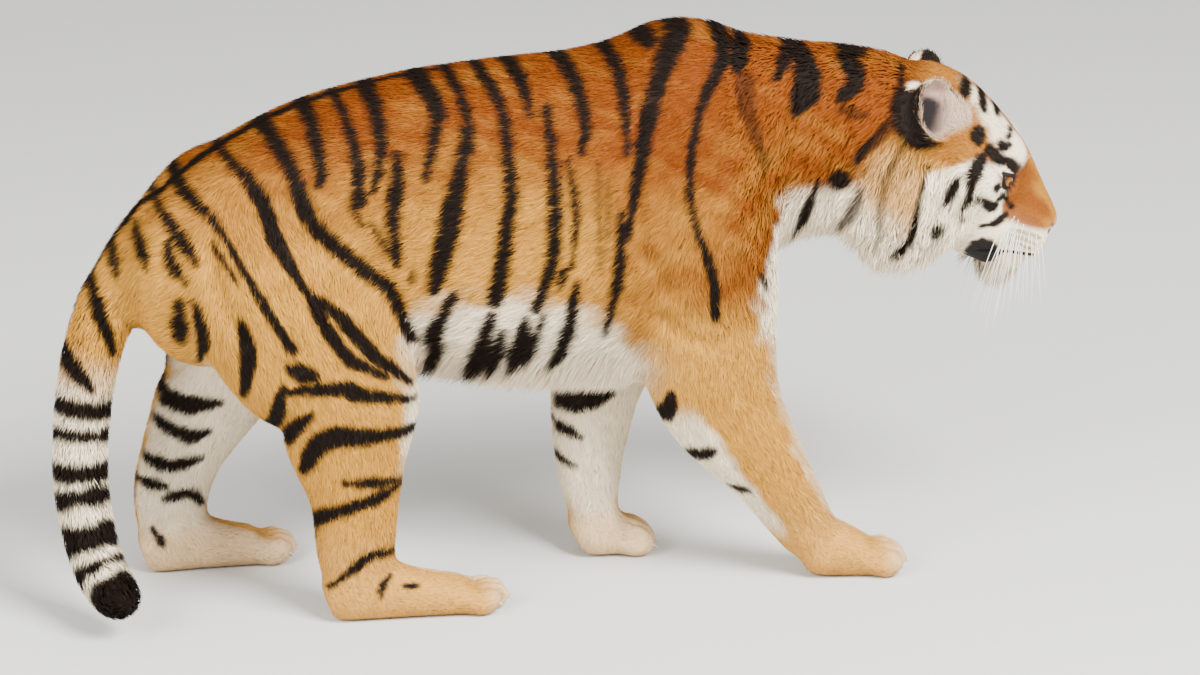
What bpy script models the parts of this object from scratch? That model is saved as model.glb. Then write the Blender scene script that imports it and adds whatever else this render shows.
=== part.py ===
"""A life-size walking tiger as one fused form, parted by thin cuts into its named parts.

Frame: metres, +X towards the nose, +Y to the tiger's left, +Z up, the floor at Z = 0.
Each form is a loft along a limb or an ellipsoid mass. They are fused by a voxel remesh, smoothed,
reduced, cut flat under the soles, and parted by slabs as thin as a hair.
"""

import math
from collections import namedtuple

import bmesh
import bpy
from mathutils import Euler, Matrix, Vector

# ---- Driving dimensions (metres) ----
WITHERS_HEIGHT = 0.995
TO_CENTRE = Vector((-0.0157, -0.0009, 0.0))
VOXEL = 0.005
CUT = 0.0004
FACE_BUDGET = 4200
RING_SIDES = 28
RINGS_PER_SPAN = 4
SMOOTH_FACTOR = 0.6
SMOOTH_ROUNDS = 40
ANKLE_LINE = 0.10

HEAD_ORIGIN = Vector((0.700, 0.0, 0.750))
HEAD_PITCH = math.radians(33.0)
HEAD_YAW = math.radians(-9.0)
HEAD_FRAME = (
    Matrix.Translation(HEAD_ORIGIN)
    @ Matrix.Rotation(HEAD_YAW, 4, "Z")
    @ Matrix.Rotation(HEAD_PITCH, 4, "Y")
)

# A loft's section: its middle, its reach to the upper or leading side, its reach to the lower or
# trailing side, and its half width.
Station = namedtuple("Station", "x y z lead trail half")
Mass = namedtuple("Mass", "x y z rx ry rz pitch yaw roll", defaults=(0.0, 0.0, 0.0))


def back_station(x, top, bottom, half):
    """A trunk section given by the heights of the back and of the belly."""
    middle = bottom + 0.52 * (top - bottom)
    return Station(x, 0.0, middle, top - middle, middle - bottom, half)


TRUNK = [
    back_station(-0.728, 0.630, 0.530, 0.040),
    back_station(-0.690, 0.708, 0.480, 0.085),
    back_station(-0.630, 0.772, 0.445, 0.130),
    back_station(-0.540, 0.830, 0.435, 0.160),
    back_station(-0.420, 0.884, 0.425, 0.167),
    back_station(-0.260, 0.921, 0.390, 0.168),
    back_station(-0.100, 0.937, 0.354, 0.182),
    back_station(0.040, 0.945, 0.340, 0.190),
    back_station(0.120, 0.962, 0.338, 0.186),
    back_station(0.170, 0.985, 0.342, 0.180),
    back_station(0.225, WITHERS_HEIGHT, 0.350, 0.168),
    back_station(0.290, 0.983, 0.375, 0.148),
    back_station(0.350, 0.950, 0.430, 0.115),
]

NECK = [
    Station(0.200, 0.0, 0.690, 0.270, 0.235, 0.140),
    Station(0.300, 0.0, 0.725, 0.242, 0.220, 0.136),
    Station(0.385, 0.0, 0.752, 0.202, 0.190, 0.126),
    Station(0.460, 0.0, 0.764, 0.176, 0.176, 0.118),
    Station(0.530, 0.0, 0.764, 0.168, 0.186, 0.114),
    Station(0.600, -0.002, 0.756, 0.158, 0.200, 0.110),
    Station(0.670, -0.004, 0.742, 0.130, 0.165, 0.095),
]

TAIL = [
    Station(-0.640, 0.000, 0.690, 0.060, 0.070, 0.062),
    Station(-0.700, -0.002, 0.630, 0.056, 0.060, 0.060),
    Station(-0.752, -0.006, 0.550, 0.053, 0.056, 0.054),
    Station(-0.788, -0.012, 0.450, 0.051, 0.053, 0.051),
    Station(-0.808, -0.022, 0.340, 0.050, 0.051, 0.050),
    Station(-0.815, -0.038, 0.240, 0.049, 0.050, 0.049),
    Station(-0.806, -0.062, 0.155, 0.048, 0.048, 0.048),
    Station(-0.790, -0.100, 0.098, 0.046, 0.046, 0.046),
    Station(-0.772, -0.145, 0.076, 0.044, 0.044, 0.044),
    Station(-0.762, -0.185, 0.080, 0.036, 0.036, 0.036),
    Station(-0.758, -0.205, 0.084, 0.018, 0.018, 0.018),
]


def leg(side, rows):
    """Stations of one leg. side is -1 on the right and +1 on the left."""
    return [Station(x, side * y, z, lead, trail, half) for x, y, z, lead, trail, half in rows]


FORELEG_RIGHT = leg(-1, [
    (0.210, 0.045, 0.930, 0.060, 0.070, 0.030),
    (0.225, 0.080, 0.820, 0.105, 0.105, 0.060),
    (0.248, 0.104, 0.680, 0.122, 0.128, 0.075),
    (0.258, 0.118, 0.540, 0.122, 0.136, 0.076),
    (0.262, 0.116, 0.410, 0.116, 0.130, 0.072),
    (0.292, 0.110, 0.311, 0.105, 0.106, 0.064),
    (0.359, 0.104, 0.212, 0.079, 0.079, 0.057),
    (0.415, 0.098, 0.123, 0.063, 0.064, 0.052),
    (0.450, 0.095, 0.062, 0.050, 0.052, 0.048),
])

FORELEG_LEFT = leg(1, [
    (0.205, 0.045, 0.930, 0.060, 0.070, 0.030),
    (0.215, 0.080, 0.820, 0.105, 0.105, 0.060),
    (0.222, 0.104, 0.680, 0.125, 0.125, 0.075),
    (0.205, 0.115, 0.540, 0.125, 0.125, 0.075),
    (0.150, 0.108, 0.420, 0.105, 0.110, 0.068),
    (0.104, 0.095, 0.320, 0.088, 0.092, 0.060),
    (0.086, 0.084, 0.220, 0.074, 0.074, 0.054),
    (0.086, 0.076, 0.135, 0.058, 0.060, 0.049),
    (0.100, 0.072, 0.062, 0.046, 0.048, 0.046),
])

HINDLEG_RIGHT = leg(-1, [
    (-0.505, 0.050, 0.770, 0.075, 0.085, 0.040),
    (-0.515, 0.088, 0.700, 0.130, 0.135, 0.066),
    (-0.492, 0.112, 0.620, 0.165, 0.165, 0.080),
    (-0.430, 0.128, 0.500, 0.170, 0.165, 0.082),
    (-0.376, 0.134, 0.400, 0.140, 0.140, 0.072),
    (-0.368, 0.136, 0.305, 0.110, 0.112, 0.060),
    (-0.360, 0.138, 0.215, 0.082, 0.084, 0.052),
    (-0.362, 0.140, 0.130, 0.074, 0.074, 0.050),
    (-0.358, 0.140, 0.062, 0.062, 0.060, 0.048),
])

HINDLEG_LEFT = leg(1, [
    (-0.510, 0.050, 0.770, 0.075, 0.085, 0.040),
    (-0.535, 0.088, 0.700, 0.130, 0.135, 0.066),
    (-0.540, 0.112, 0.620, 0.150, 0.160, 0.080),
    (-0.525, 0.128, 0.500, 0.145, 0.150, 0.080),
    (-0.530, 0.136, 0.400, 0.120, 0.125, 0.070),
    (-0.578, 0.140, 0.305, 0.098, 0.104, 0.058),
    (-0.625, 0.142, 0.215, 0.078, 0.080, 0.051),
    (-0.648, 0.142, 0.135, 0.070, 0.072, 0.049),
    (-0.646, 0.142, 0.062, 0.058, 0.058, 0.047),
])

# Each foot: where its ankle stands over the floor, which way it points, and its sizes.
Foot = namedtuple("Foot", "x y heading length half_width ankle_height heel")
FEET = {
    "forepaw_right": Foot(0.462, -0.094, -3.0, 0.158, 0.058, 0.106, 0.040),
    "forepaw_left": Foot(0.094, 0.072, 3.0, 0.112, 0.056, 0.105, 0.040),
    "hindpaw_right": Foot(-0.350, -0.140, 0.0, 0.258, 0.052, 0.108, 0.066),
    "hindpaw_left": Foot(-0.640, 0.142, 4.0, 0.220, 0.050, 0.108, 0.064),
}
TOES = 4
SOLE_DEPTH = 0.006

BODY_MASSES = [
    Mass(0.298, 0.0, 0.510, 0.070, 0.115, 0.130),
    Mass(0.080, 0.0, 0.425, 0.150, 0.120, 0.085),
    Mass(-0.600, 0.062, 0.600, 0.125, 0.080, 0.165),
    Mass(-0.600, -0.062, 0.600, 0.125, 0.080, 0.165),
    Mass(-0.300, 0.0, 0.480, 0.140, 0.130, 0.090),
]

# The head's forms are in its own frame: +X along the muzzle, +Z to the crown.
SKULL = [
    Station(-0.150, 0.0, 0.010, 0.070, 0.090, 0.075),
    Station(-0.100, 0.0, 0.012, 0.090, 0.100, 0.090),
    Station(-0.040, 0.0, 0.012, 0.100, 0.110, 0.098),
    Station(0.020, 0.0, 0.006, 0.094, 0.110, 0.098),
    Station(0.070, 0.0, -0.004, 0.086, 0.100, 0.090),
    Station(0.110, 0.0, -0.014, 0.077, 0.085, 0.074),
    Station(0.140, 0.0, -0.022, 0.067, 0.070, 0.060),
    Station(0.180, 0.0, -0.034, 0.055, 0.050, 0.050),
    Station(0.215, 0.0, -0.044, 0.047, 0.035, 0.044),
    Station(0.238, 0.0, -0.046, 0.036, 0.024, 0.036),
]
JAW = [
    Station(-0.020, 0.0, -0.100, 0.050, 0.060, 0.084),
    Station(0.060, 0.0, -0.112, 0.045, 0.056, 0.080),
    Station(0.130, 0.0, -0.116, 0.040, 0.044, 0.066),
    Station(0.180, 0.0, -0.116, 0.036, 0.038, 0.056),
    Station(0.216, 0.0, -0.116, 0.028, 0.032, 0.042),
]
HEAD_MASSES = [
    Mass(0.205, 0.0, -0.120, 0.036, 0.040, 0.032),
    Mass(0.228, 0.0, -0.024, 0.019, 0.030, 0.019, math.radians(20)),
]
HEAD_PAIRS = [
    Mass(0.040, 0.062, -0.040, 0.085, 0.056, 0.078),
    Mass(0.090, 0.040, 0.050, 0.046, 0.034, 0.028, math.radians(28)),
    Mass(0.192, 0.034, -0.066, 0.056, 0.037, 0.043, math.radians(8)),
    Mass(0.120, 0.046, -0.084, 0.080, 0.036, 0.052),
    Mass(0.030, 0.072, -0.100, 0.085, 0.052, 0.076),
    Mass(-0.030, 0.088, -0.110, 0.075, 0.050, 0.105, math.radians(20)),
    Mass(-0.005, 0.060, -0.180, 0.066, 0.060, 0.066, math.radians(33)),
    Mass(0.020, 0.056, -0.187, 0.084, 0.050, 0.052, math.radians(-33)),
]

EYE = Vector((0.104, 0.0605, 0.004))
EYE_RADIUS = 0.0180
EYE_PLAY = 0.0004
Ear = namedtuple("Ear", "x y z tall wide depth wall turn tilt roll")
EAR = Ear(-0.066, 0.112, 0.056, 0.060, 0.053, 0.058, 0.012, 46.0, -10.0, 14.0)
LEFT_EAR_AHEAD = 0.010
EAR_RINGS = 8

# How far each part may be smoothed, from nought to one.
SOFT_EAR = 0.06
SOFT_MUZZLE = 0.25
SOFT_FACE = 0.55
SOFT_FOOT = 0.30

# How much of the reduction the head and the feet are spared.
FINE_HEAD = 0.60
FINE_FOOT = 0.36
REDUCE_WEIGHT = 0.01


# ---- Making forms ----
def collection(name):
    """The scene's collection of that name, made when it is first asked for."""
    found = bpy.data.collections.get(name)
    if found is None:
        found = bpy.data.collections.new(name)
        bpy.context.scene.collection.children.link(found)
    return found


def workpiece(name, mesh, shelf="cutters"):
    """A new object of a mesh, in a collection of the scene."""
    item = bpy.data.objects.new(name, mesh)
    collection(shelf).objects.link(item)
    return item


def between(stations, span, share):
    """Catmull-Rom value of every field of the stations, share of the way along a span."""
    last = len(stations) - 1
    picks = [stations[min(max(span + k, 0), last)] for k in (-1, 0, 1, 2)]
    t, tt, ttt = share, share ** 2, share ** 3
    return Station(*(
        0.5 * (2 * b + (c - a) * t + (2 * a - 5 * b + 4 * c - d) * tt + (3 * b - a - 3 * c + d) * ttt)
        for a, b, c, d in zip(*picks)
    ))


def add_loft(form, stations, squareness=2.0, frame=Matrix.Identity(4), upright=False):
    """Adds a closed tube of oval sections. They stand square to its path, or upright."""
    rows = [
        between(stations, span, step / RINGS_PER_SPAN)
        for span in range(len(stations) - 1)
        for step in range(RINGS_PER_SPAN)
    ] + [stations[-1]]
    middles = [Vector((r.x, r.y, r.z)) for r in rows]
    rings = []
    for i, row in enumerate(rows):
        ahead = (middles[min(i + 1, len(rows) - 1)] - middles[max(i - 1, 0)]).normalized()
        left = Vector((0, 1, 0))
        left = (left - ahead * left.dot(ahead)).normalized()
        lead = ahead.cross(left)
        if upright:
            left, lead = Vector((0, 1, 0)), Vector((0, 0, 1))
        ring = []
        for k in range(RING_SIDES):
            angle = 2 * math.pi * k / RING_SIDES
            c, s = math.cos(angle), math.sin(angle)
            across = math.copysign(abs(s) ** (2 / squareness), s) * row.half
            along = math.copysign(abs(c) ** (2 / squareness), c)
            along *= row.lead if c > 0 else row.trail
            ring.append(form.verts.new(frame @ (middles[i] + left * across + lead * along)))
        rings.append(ring)
    for a, b in zip(rings, rings[1:]):
        for k in range(RING_SIDES):
            n = (k + 1) % RING_SIDES
            form.faces.new((a[k], a[n], b[n], b[k]))
    form.faces.new(list(reversed(rings[0])))
    form.faces.new(rings[-1])


def add_mass(form, mass, frame=Matrix.Identity(4)):
    """Adds an ellipsoid."""
    turn = Euler((mass.roll, mass.pitch, mass.yaw)).to_matrix().to_4x4()
    size = Matrix.Diagonal((mass.rx, mass.ry, mass.rz, 1.0))
    place = frame @ Matrix.Translation((mass.x, mass.y, mass.z)) @ turn @ size
    bmesh.ops.create_uvsphere(form, u_segments=24, v_segments=16, radius=1.0, matrix=place)


def mirrored(mass):
    return mass._replace(y=-mass.y, yaw=-mass.yaw, roll=-mass.roll)


def add_foot(form, foot):
    """Adds a paw: an instep that falls forwards from the ankle, and toes that reach the floor."""
    heading = math.radians(foot.heading)
    frame = Matrix.Translation((foot.x, foot.y, 0)) @ Matrix.Rotation(heading, 4, "Z")
    high, reach, half = foot.ankle_height, foot.length, foot.half_width

    def section(x, top, wide):
        middle = 0.48 * top
        return Station(x, 0, middle, top - middle, middle + SOLE_DEPTH, wide * half)

    add_loft(form, [
        section(-foot.heel, 0.62 * high, 0.60),
        section(-0.5 * foot.heel, 0.80 * high, 0.86),
        section(0.10 * reach, 0.95 * high, 0.92),
        section(0.35 * reach, 0.76 * high, 0.92),
        section(0.62 * reach, 0.60 * high, 0.98),
        section(0.80 * reach, 0.48 * high, 0.92),
    ], 2.3, frame)
    for k in range(TOES):
        spread = (k - (TOES - 1) / 2) / (TOES - 1)
        ahead = reach * (1.0 - 0.30 * abs(spread) ** 1.6) - 0.034
        add_mass(form, Mass(
            ahead, 1.46 * half * spread, 0.026, 0.036, 0.0205, 0.030,
            math.radians(6), math.radians(14) * spread,
        ), frame)


def add_ear(form, side):
    """Adds a round cup with a thick wall, open outwards and forwards."""
    turn = Euler((
        -side * math.radians(EAR.roll), math.radians(EAR.tilt), side * math.radians(EAR.turn),
    )).to_matrix().to_4x4()
    ahead = LEFT_EAR_AHEAD if side > 0 else 0.0
    middle = HEAD_FRAME @ Vector((EAR.x + ahead, side * EAR.y, EAR.z))
    place = Matrix.Translation(middle) @ Matrix.Rotation(HEAD_YAW, 4, "Z") @ turn
    rims = []
    for inner, shrink in enumerate((0.0, EAR.wall)):
        depth = EAR.depth - shrink
        pole = form.verts.new(place @ Vector((-depth, 0, 0)))
        rings = []
        for j in range(1, EAR_RINGS + 1):
            slope = 0.5 * math.pi * j / EAR_RINGS
            out = math.sin(slope)
            rings.append([
                form.verts.new(place @ Vector((
                    -depth * math.cos(slope),
                    (EAR.wide - 0.6 * shrink) * out * math.sin(angle),
                    (EAR.tall - 0.6 * shrink) * out * math.cos(angle),
                )))
                for angle in (2 * math.pi * k / RING_SIDES for k in range(RING_SIDES))
            ])
        faces = [(pole, rings[0][k], rings[0][(k + 1) % RING_SIDES]) for k in range(RING_SIDES)]
        faces += [
            (a[k], b[k], b[(k + 1) % RING_SIDES], a[(k + 1) % RING_SIDES])
            for a, b in zip(rings, rings[1:]) for k in range(RING_SIDES)
        ]
        for face in faces:
            form.faces.new(reversed(face) if inner else face)
        rims.append(rings[-1])
    for k in range(RING_SIDES):
        n = (k + 1) % RING_SIDES
        form.faces.new((rims[0][k], rims[1][k], rims[1][n], rims[0][n]))


def make_form():
    """All lofts and masses in one mesh object, overlapping, before they are fused."""
    form = bmesh.new()
    add_loft(form, TRUNK, 2.15, upright=True)
    add_loft(form, NECK, upright=True)
    add_loft(form, TAIL)
    for rows in (FORELEG_RIGHT, FORELEG_LEFT, HINDLEG_RIGHT, HINDLEG_LEFT):
        add_loft(form, rows)
    for foot in FEET.values():
        add_foot(form, foot)
    for mass in BODY_MASSES:
        add_mass(form, mass)
    for rows in (SKULL, JAW):
        add_loft(form, rows, 2.0, HEAD_FRAME)
    for mass in HEAD_MASSES:
        add_mass(form, mass, HEAD_FRAME)
    for mass in HEAD_PAIRS:
        add_mass(form, mass, HEAD_FRAME)
        add_mass(form, mirrored(mass), HEAD_FRAME)
    for side in (-1, 1):
        add_ear(form, side)
    bmesh.ops.recalc_face_normals(form, faces=form.faces)
    mesh = bpy.data.meshes.new("form")
    form.to_mesh(mesh)
    form.free()
    return workpiece("chest", mesh, "tiger")


def evaluated_mesh(item):
    bpy.context.view_layer.update()
    return bpy.data.meshes.new_from_object(item.evaluated_get(bpy.context.evaluated_depsgraph_get()))


def in_head(point):
    """A point's place in the head's frame, or nothing for a point of the trunk or limbs."""
    place = HEAD_FRAME.inverted() @ point
    return place if point.x > 0.5 and place.x > -0.13 else None


def softness(point):
    """How far a point of the fused form may be smoothed: least on ears, muzzle and feet."""
    place = in_head(point)
    if place is None:
        return SOFT_FOOT if point.z < ANKLE_LINE else 1.0
    if min((place - Vector((EAR.x, side * EAR.y, EAR.z))).length for side in (-1, 1)) < 1.2 * EAR.tall:
        return SOFT_EAR
    return SOFT_MUZZLE if place.x > EYE.x + EYE_RADIUS else SOFT_FACE


def spareness(point):
    """How freely a point of the fused form may be reduced: least on the head and the feet."""
    if in_head(point) is not None:
        return 1.0 - FINE_HEAD
    return 1.0 - FINE_FOOT if point.z < ANKLE_LINE else 1.0


def weigh(form, name, weight):
    """Gives the form a vertex group whose weights a function of the place works out."""
    group = form.vertex_groups.new(name=name)
    for vertex in form.data.vertices:
        group.add([vertex.index], weight(vertex.co), "REPLACE")
    return group.name


def fused(form):
    """Makes one closed skin round all the forms, smooths it and reduces it to the face budget."""
    remesh = form.modifiers.new("fuse", "REMESH")
    remesh.mode = "VOXEL"
    remesh.voxel_size = VOXEL
    form.data = evaluated_mesh(form)
    form.modifiers.clear()

    smooth = form.modifiers.new("smooth", "SMOOTH")
    smooth.factor = SMOOTH_FACTOR
    smooth.iterations = SMOOTH_ROUNDS
    smooth.vertex_group = weigh(form, "soft", softness)
    form.data = evaluated_mesh(form)
    form.modifiers.clear()

    reduce = form.modifiers.new("reduce", "DECIMATE")
    reduce.ratio = FACE_BUDGET / (2 * len(form.data.polygons))
    reduce.use_collapse_triangulate = True
    reduce.vertex_group = weigh(form, "spare", spareness)
    reduce.vertex_group_factor = REDUCE_WEIGHT
    form.data = evaluated_mesh(form)
    form.modifiers.clear()
    form.vertex_groups.clear()
    return form


# ---- Parting ----
# A region is a box or a ball in a frame: its middle, its turn in degrees and its half sizes.
Region = namedtuple("Region", "name middle turn half frame shape", defaults=(Matrix.Identity(4), "box"))


def region_solid(region, grown):
    """The solid of a region, grown or, below nought, shrunk all round."""
    solid = bmesh.new()
    if region.shape == "box":
        bmesh.ops.create_cube(solid, size=2.0)
    else:
        bmesh.ops.create_icosphere(solid, subdivisions=3, radius=1.0)
    turn = Euler([math.radians(a) for a in region.turn]).to_matrix().to_4x4()
    size = Matrix.Diagonal([h + grown for h in region.half] + [1.0])
    solid.transform(region.frame @ Matrix.Translation(region.middle) @ turn @ size)
    mesh = bpy.data.meshes.new("region")
    solid.to_mesh(mesh)
    solid.free()
    return workpiece("region", mesh)


def boolean_mesh(item, cutter, operation):
    """The mesh of one object after another has cut it or met it."""
    cut = item.modifiers.new("cut", "BOOLEAN")
    cut.operation = operation
    cut.object = cutter
    mesh = evaluated_mesh(item)
    item.modifiers.clear()
    return mesh


def drop_crumbs(mesh):
    """Keeps only the body with the most vertices."""
    whole = bmesh.new()
    whole.from_mesh(mesh)
    left = set(whole.verts)
    bodies = []
    while left:
        found, front = set(), [left.pop()]
        while front:
            vertex = front.pop()
            found.add(vertex)
            near = {edge.other_vert(vertex) for edge in vertex.link_edges} & left
            left -= near
            front.extend(near)
        bodies.append(found)
    bodies.sort(key=len)
    crumbs = [vertex for body in bodies[:-1] for vertex in body]
    bmesh.ops.delete(whole, geom=crumbs, context="VERTS")
    whole.to_mesh(mesh)
    whole.free()


def carved(body, region):
    """Takes a region's piece out of the body and leaves a cut as thin as a hair between them."""
    inner = region_solid(region, -CUT / 2)
    outer = region_solid(region, CUT / 2)
    piece = workpiece(region.name, boolean_mesh(body, inner, "INTERSECT"), "tiger")
    drop_crumbs(piece.data)
    body.data = boolean_mesh(body, outer, "DIFFERENCE")
    for cutter in (inner, outer):
        bpy.data.objects.remove(cutter)
    return piece


def sided(name, middle, turn, half, frame=Matrix.Identity(4), shape="box"):
    """The same region on the right and on the left."""
    x, y, z = middle
    roll, pitch, yaw = turn
    return [
        Region(f"{name}_{side}", (x, sign * y, z), (sign * roll, pitch, sign * yaw), half, frame, shape)
        for side, sign in (("right", -1), ("left", 1))
    ]


REGIONS = [
    *sided("ear", (-0.074, 0.130, 0.066), (0, 0, 0), (0.066, 0.066, 0.070), HEAD_FRAME, "ball"),
    Region("nose", (0.285, 0.0, -0.018), (0, 0, 0), (0.048, 0.034, 0.028), HEAD_FRAME),
    Region("jaw", (0.180, 0.0, -0.184), (0, 0, 0), (0.120, 0.085, 0.080), HEAD_FRAME),
    Region("head", (0.790, 0.0, 0.700), (0, 11, 0), (0.210, 0.300, 0.300)),
    Region("neck", (0.560, 0.0, 0.800), (0, 14, 0), (0.200, 0.300, 0.250)),
    Region("tail_tip", (-0.800, -0.100, 0.080), (0, 0, 0), (0.100, 0.200, 0.120)),
    Region("tail_middle", (-0.850, -0.020, 0.300), (0, 8, 0), (0.130, 0.100, 0.110)),
    Region("tail_base", (-0.792, 0.000, 0.490), (0, 32, 0), (0.085, 0.070, 0.140)),
    *sided("forepaw", (0.330, 0.150, -0.060), (0, 0, 0), (0.370, 0.150, 0.160)),
    *sided("hindpaw", (-0.420, 0.150, -0.060), (0, 0, 0), (0.400, 0.150, 0.160)),
    Region("foreleg_right", (0.330, -0.160, 0.205), (0, 0, 0), (0.225, 0.140, 0.131)),
    Region("foreleg_left", (0.120, 0.160, 0.205), (0, 0, 0), (0.150, 0.140, 0.131)),
    *sided("shank", (-0.480, 0.160, 0.210), (0, 0, 0), (0.300, 0.155, 0.160)),
    *sided("thigh", (-0.498, 0.170, 0.417), (0, -32, 0), (0.208, 0.110, 0.230)),
    Region("hips", (-0.600, 0.0, 0.600), (0, 0, 0), (0.280, 0.300, 0.400)),
    Region("loin", (-0.150, 0.0, 0.600), (0, 0, 0), (0.210, 0.300, 0.400)),
]

Finish = namedtuple("Finish", "red green blue roughness")
FINISHES = {
    "coat_tawny": Finish(0.56, 0.26, 0.09, 0.85),
    "coat_pale": Finish(0.80, 0.72, 0.60, 0.85),
    "coat_dark": Finish(0.05, 0.035, 0.03, 0.80),
    "nose_skin": Finish(0.30, 0.13, 0.11, 0.45),
    "eye_amber": Finish(0.50, 0.33, 0.08, 0.05),
}
FINISH_OF = {
    "ear": "coat_dark", "nose": "nose_skin", "jaw": "coat_pale", "tail_tip": "coat_dark",
    "forepaw": "coat_pale", "hindpaw": "coat_pale", "eye": "eye_amber",
}


def finished(item):
    """Gives a piece its place in the collection's frame, its material and its shading."""
    name = next((FINISH_OF[key] for key in FINISH_OF if item.name.startswith(key)), "coat_tawny")
    material = bpy.data.materials.get(name) or bpy.data.materials.new(name)
    material.use_nodes = True
    finish = FINISHES[name]
    shader = material.node_tree.nodes["Principled BSDF"]
    shader.inputs["Base Color"].default_value = (finish.red, finish.green, finish.blue, 1.0)
    shader.inputs["Roughness"].default_value = finish.roughness
    material.diffuse_color = (finish.red, finish.green, finish.blue, 1.0)
    item.data.materials.clear()
    item.data.materials.append(material)
    item.data.shade_smooth()
    item.location = TO_CENTRE


def ball_mesh(name, side, radius):
    """A sphere at the middle of the right or left eye."""
    ball = bmesh.new()
    place = HEAD_FRAME @ Matrix.Translation((EYE.x, side * EYE.y, EYE.z))
    place = place @ Matrix.Rotation(math.pi / 2, 4, "Y")
    bmesh.ops.create_uvsphere(ball, u_segments=16, v_segments=8, radius=radius, matrix=place)
    mesh = bpy.data.meshes.new(name)
    ball.to_mesh(mesh)
    ball.free()
    return mesh


def set_eye(head, side):
    """Cuts a socket in the head and sets an eyeball in it."""
    socket = workpiece("socket", ball_mesh("socket", side, EYE_RADIUS + EYE_PLAY))
    head.data = boolean_mesh(head, socket, "DIFFERENCE")
    bpy.data.objects.remove(socket)
    name = "eye_right" if side < 0 else "eye_left"
    return workpiece(name, ball_mesh(name, side, EYE_RADIUS), "tiger")


def parted(body):
    """Parts the body: soles cut flat, then each region's piece, then the eyes in their sockets."""
    floor = region_solid(Region("floor", (0.0, 0.0, -0.5), (0, 0, 0), (2.0, 2.0, 0.5)), 0.0)
    body.data = boolean_mesh(body, floor, "DIFFERENCE")
    bpy.data.objects.remove(floor)
    pieces = {region.name: carved(body, region) for region in REGIONS}
    drop_crumbs(body.data)
    eyes = [set_eye(pieces["head"], side) for side in (-1, 1)]
    return [*pieces.values(), body, *eyes]


def main():
    for item in list(bpy.data.objects):
        bpy.data.objects.remove(item)
    for piece in parted(fused(make_form())):
        finished(piece)


main()
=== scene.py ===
"""The tiger's looks: one skin over the frame's solids, its coat in tufts, eyes, claws, whiskers and stage.

Metres. +X runs towards the nose, +Y to the tiger's left, +Z up, and the floor is at Z = 0.
"""

import math
from collections import namedtuple

import bmesh
import bpy
import numpy as np
from mathutils import Euler, Matrix, Vector
from mathutils.bvhtree import BVHTree


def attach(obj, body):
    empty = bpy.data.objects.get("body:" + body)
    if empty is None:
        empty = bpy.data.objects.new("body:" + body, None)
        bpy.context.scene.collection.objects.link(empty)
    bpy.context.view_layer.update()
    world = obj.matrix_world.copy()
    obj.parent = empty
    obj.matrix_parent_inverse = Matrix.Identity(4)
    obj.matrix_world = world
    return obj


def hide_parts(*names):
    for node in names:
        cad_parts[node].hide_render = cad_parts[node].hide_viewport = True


bl_info = {
    "name": "Walking Tiger",
    "version": (1, 0, 0),
    "blender": (4, 5, 0),
    "location": "3D View > Sidebar > Tiger",
    "description": "Builds a life-size tiger's skin, coat, eyes and whiskers on its frame",
    "category": "Add Mesh",
}

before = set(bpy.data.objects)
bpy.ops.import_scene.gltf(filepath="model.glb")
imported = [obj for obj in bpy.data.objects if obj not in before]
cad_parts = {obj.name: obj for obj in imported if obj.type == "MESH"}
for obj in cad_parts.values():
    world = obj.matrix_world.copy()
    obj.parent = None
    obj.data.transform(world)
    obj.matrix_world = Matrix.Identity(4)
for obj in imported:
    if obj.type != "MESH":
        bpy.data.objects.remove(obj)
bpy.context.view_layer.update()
EYE_NODES = ("eye_right", "eye_left")
FLESH_NODES = [name for name in sorted(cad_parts) if name not in EYE_NODES]

# ---- The head's frame: +X along the muzzle, +Z to the crown ----
HEAD_YAW = Matrix.Rotation(math.radians(-9.0), 3, "Z")
HEAD_FRAME = (
    Matrix.Translation((0.6843, -0.0009, 0.750))
    @ HEAD_YAW.to_4x4()
    @ Matrix.Rotation(math.radians(33.0), 4, "Y")
)
HEAD_TURN = np.array(HEAD_FRAME.to_3x3())
HEAD_MIDDLE = np.array(HEAD_FRAME.translation)

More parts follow.
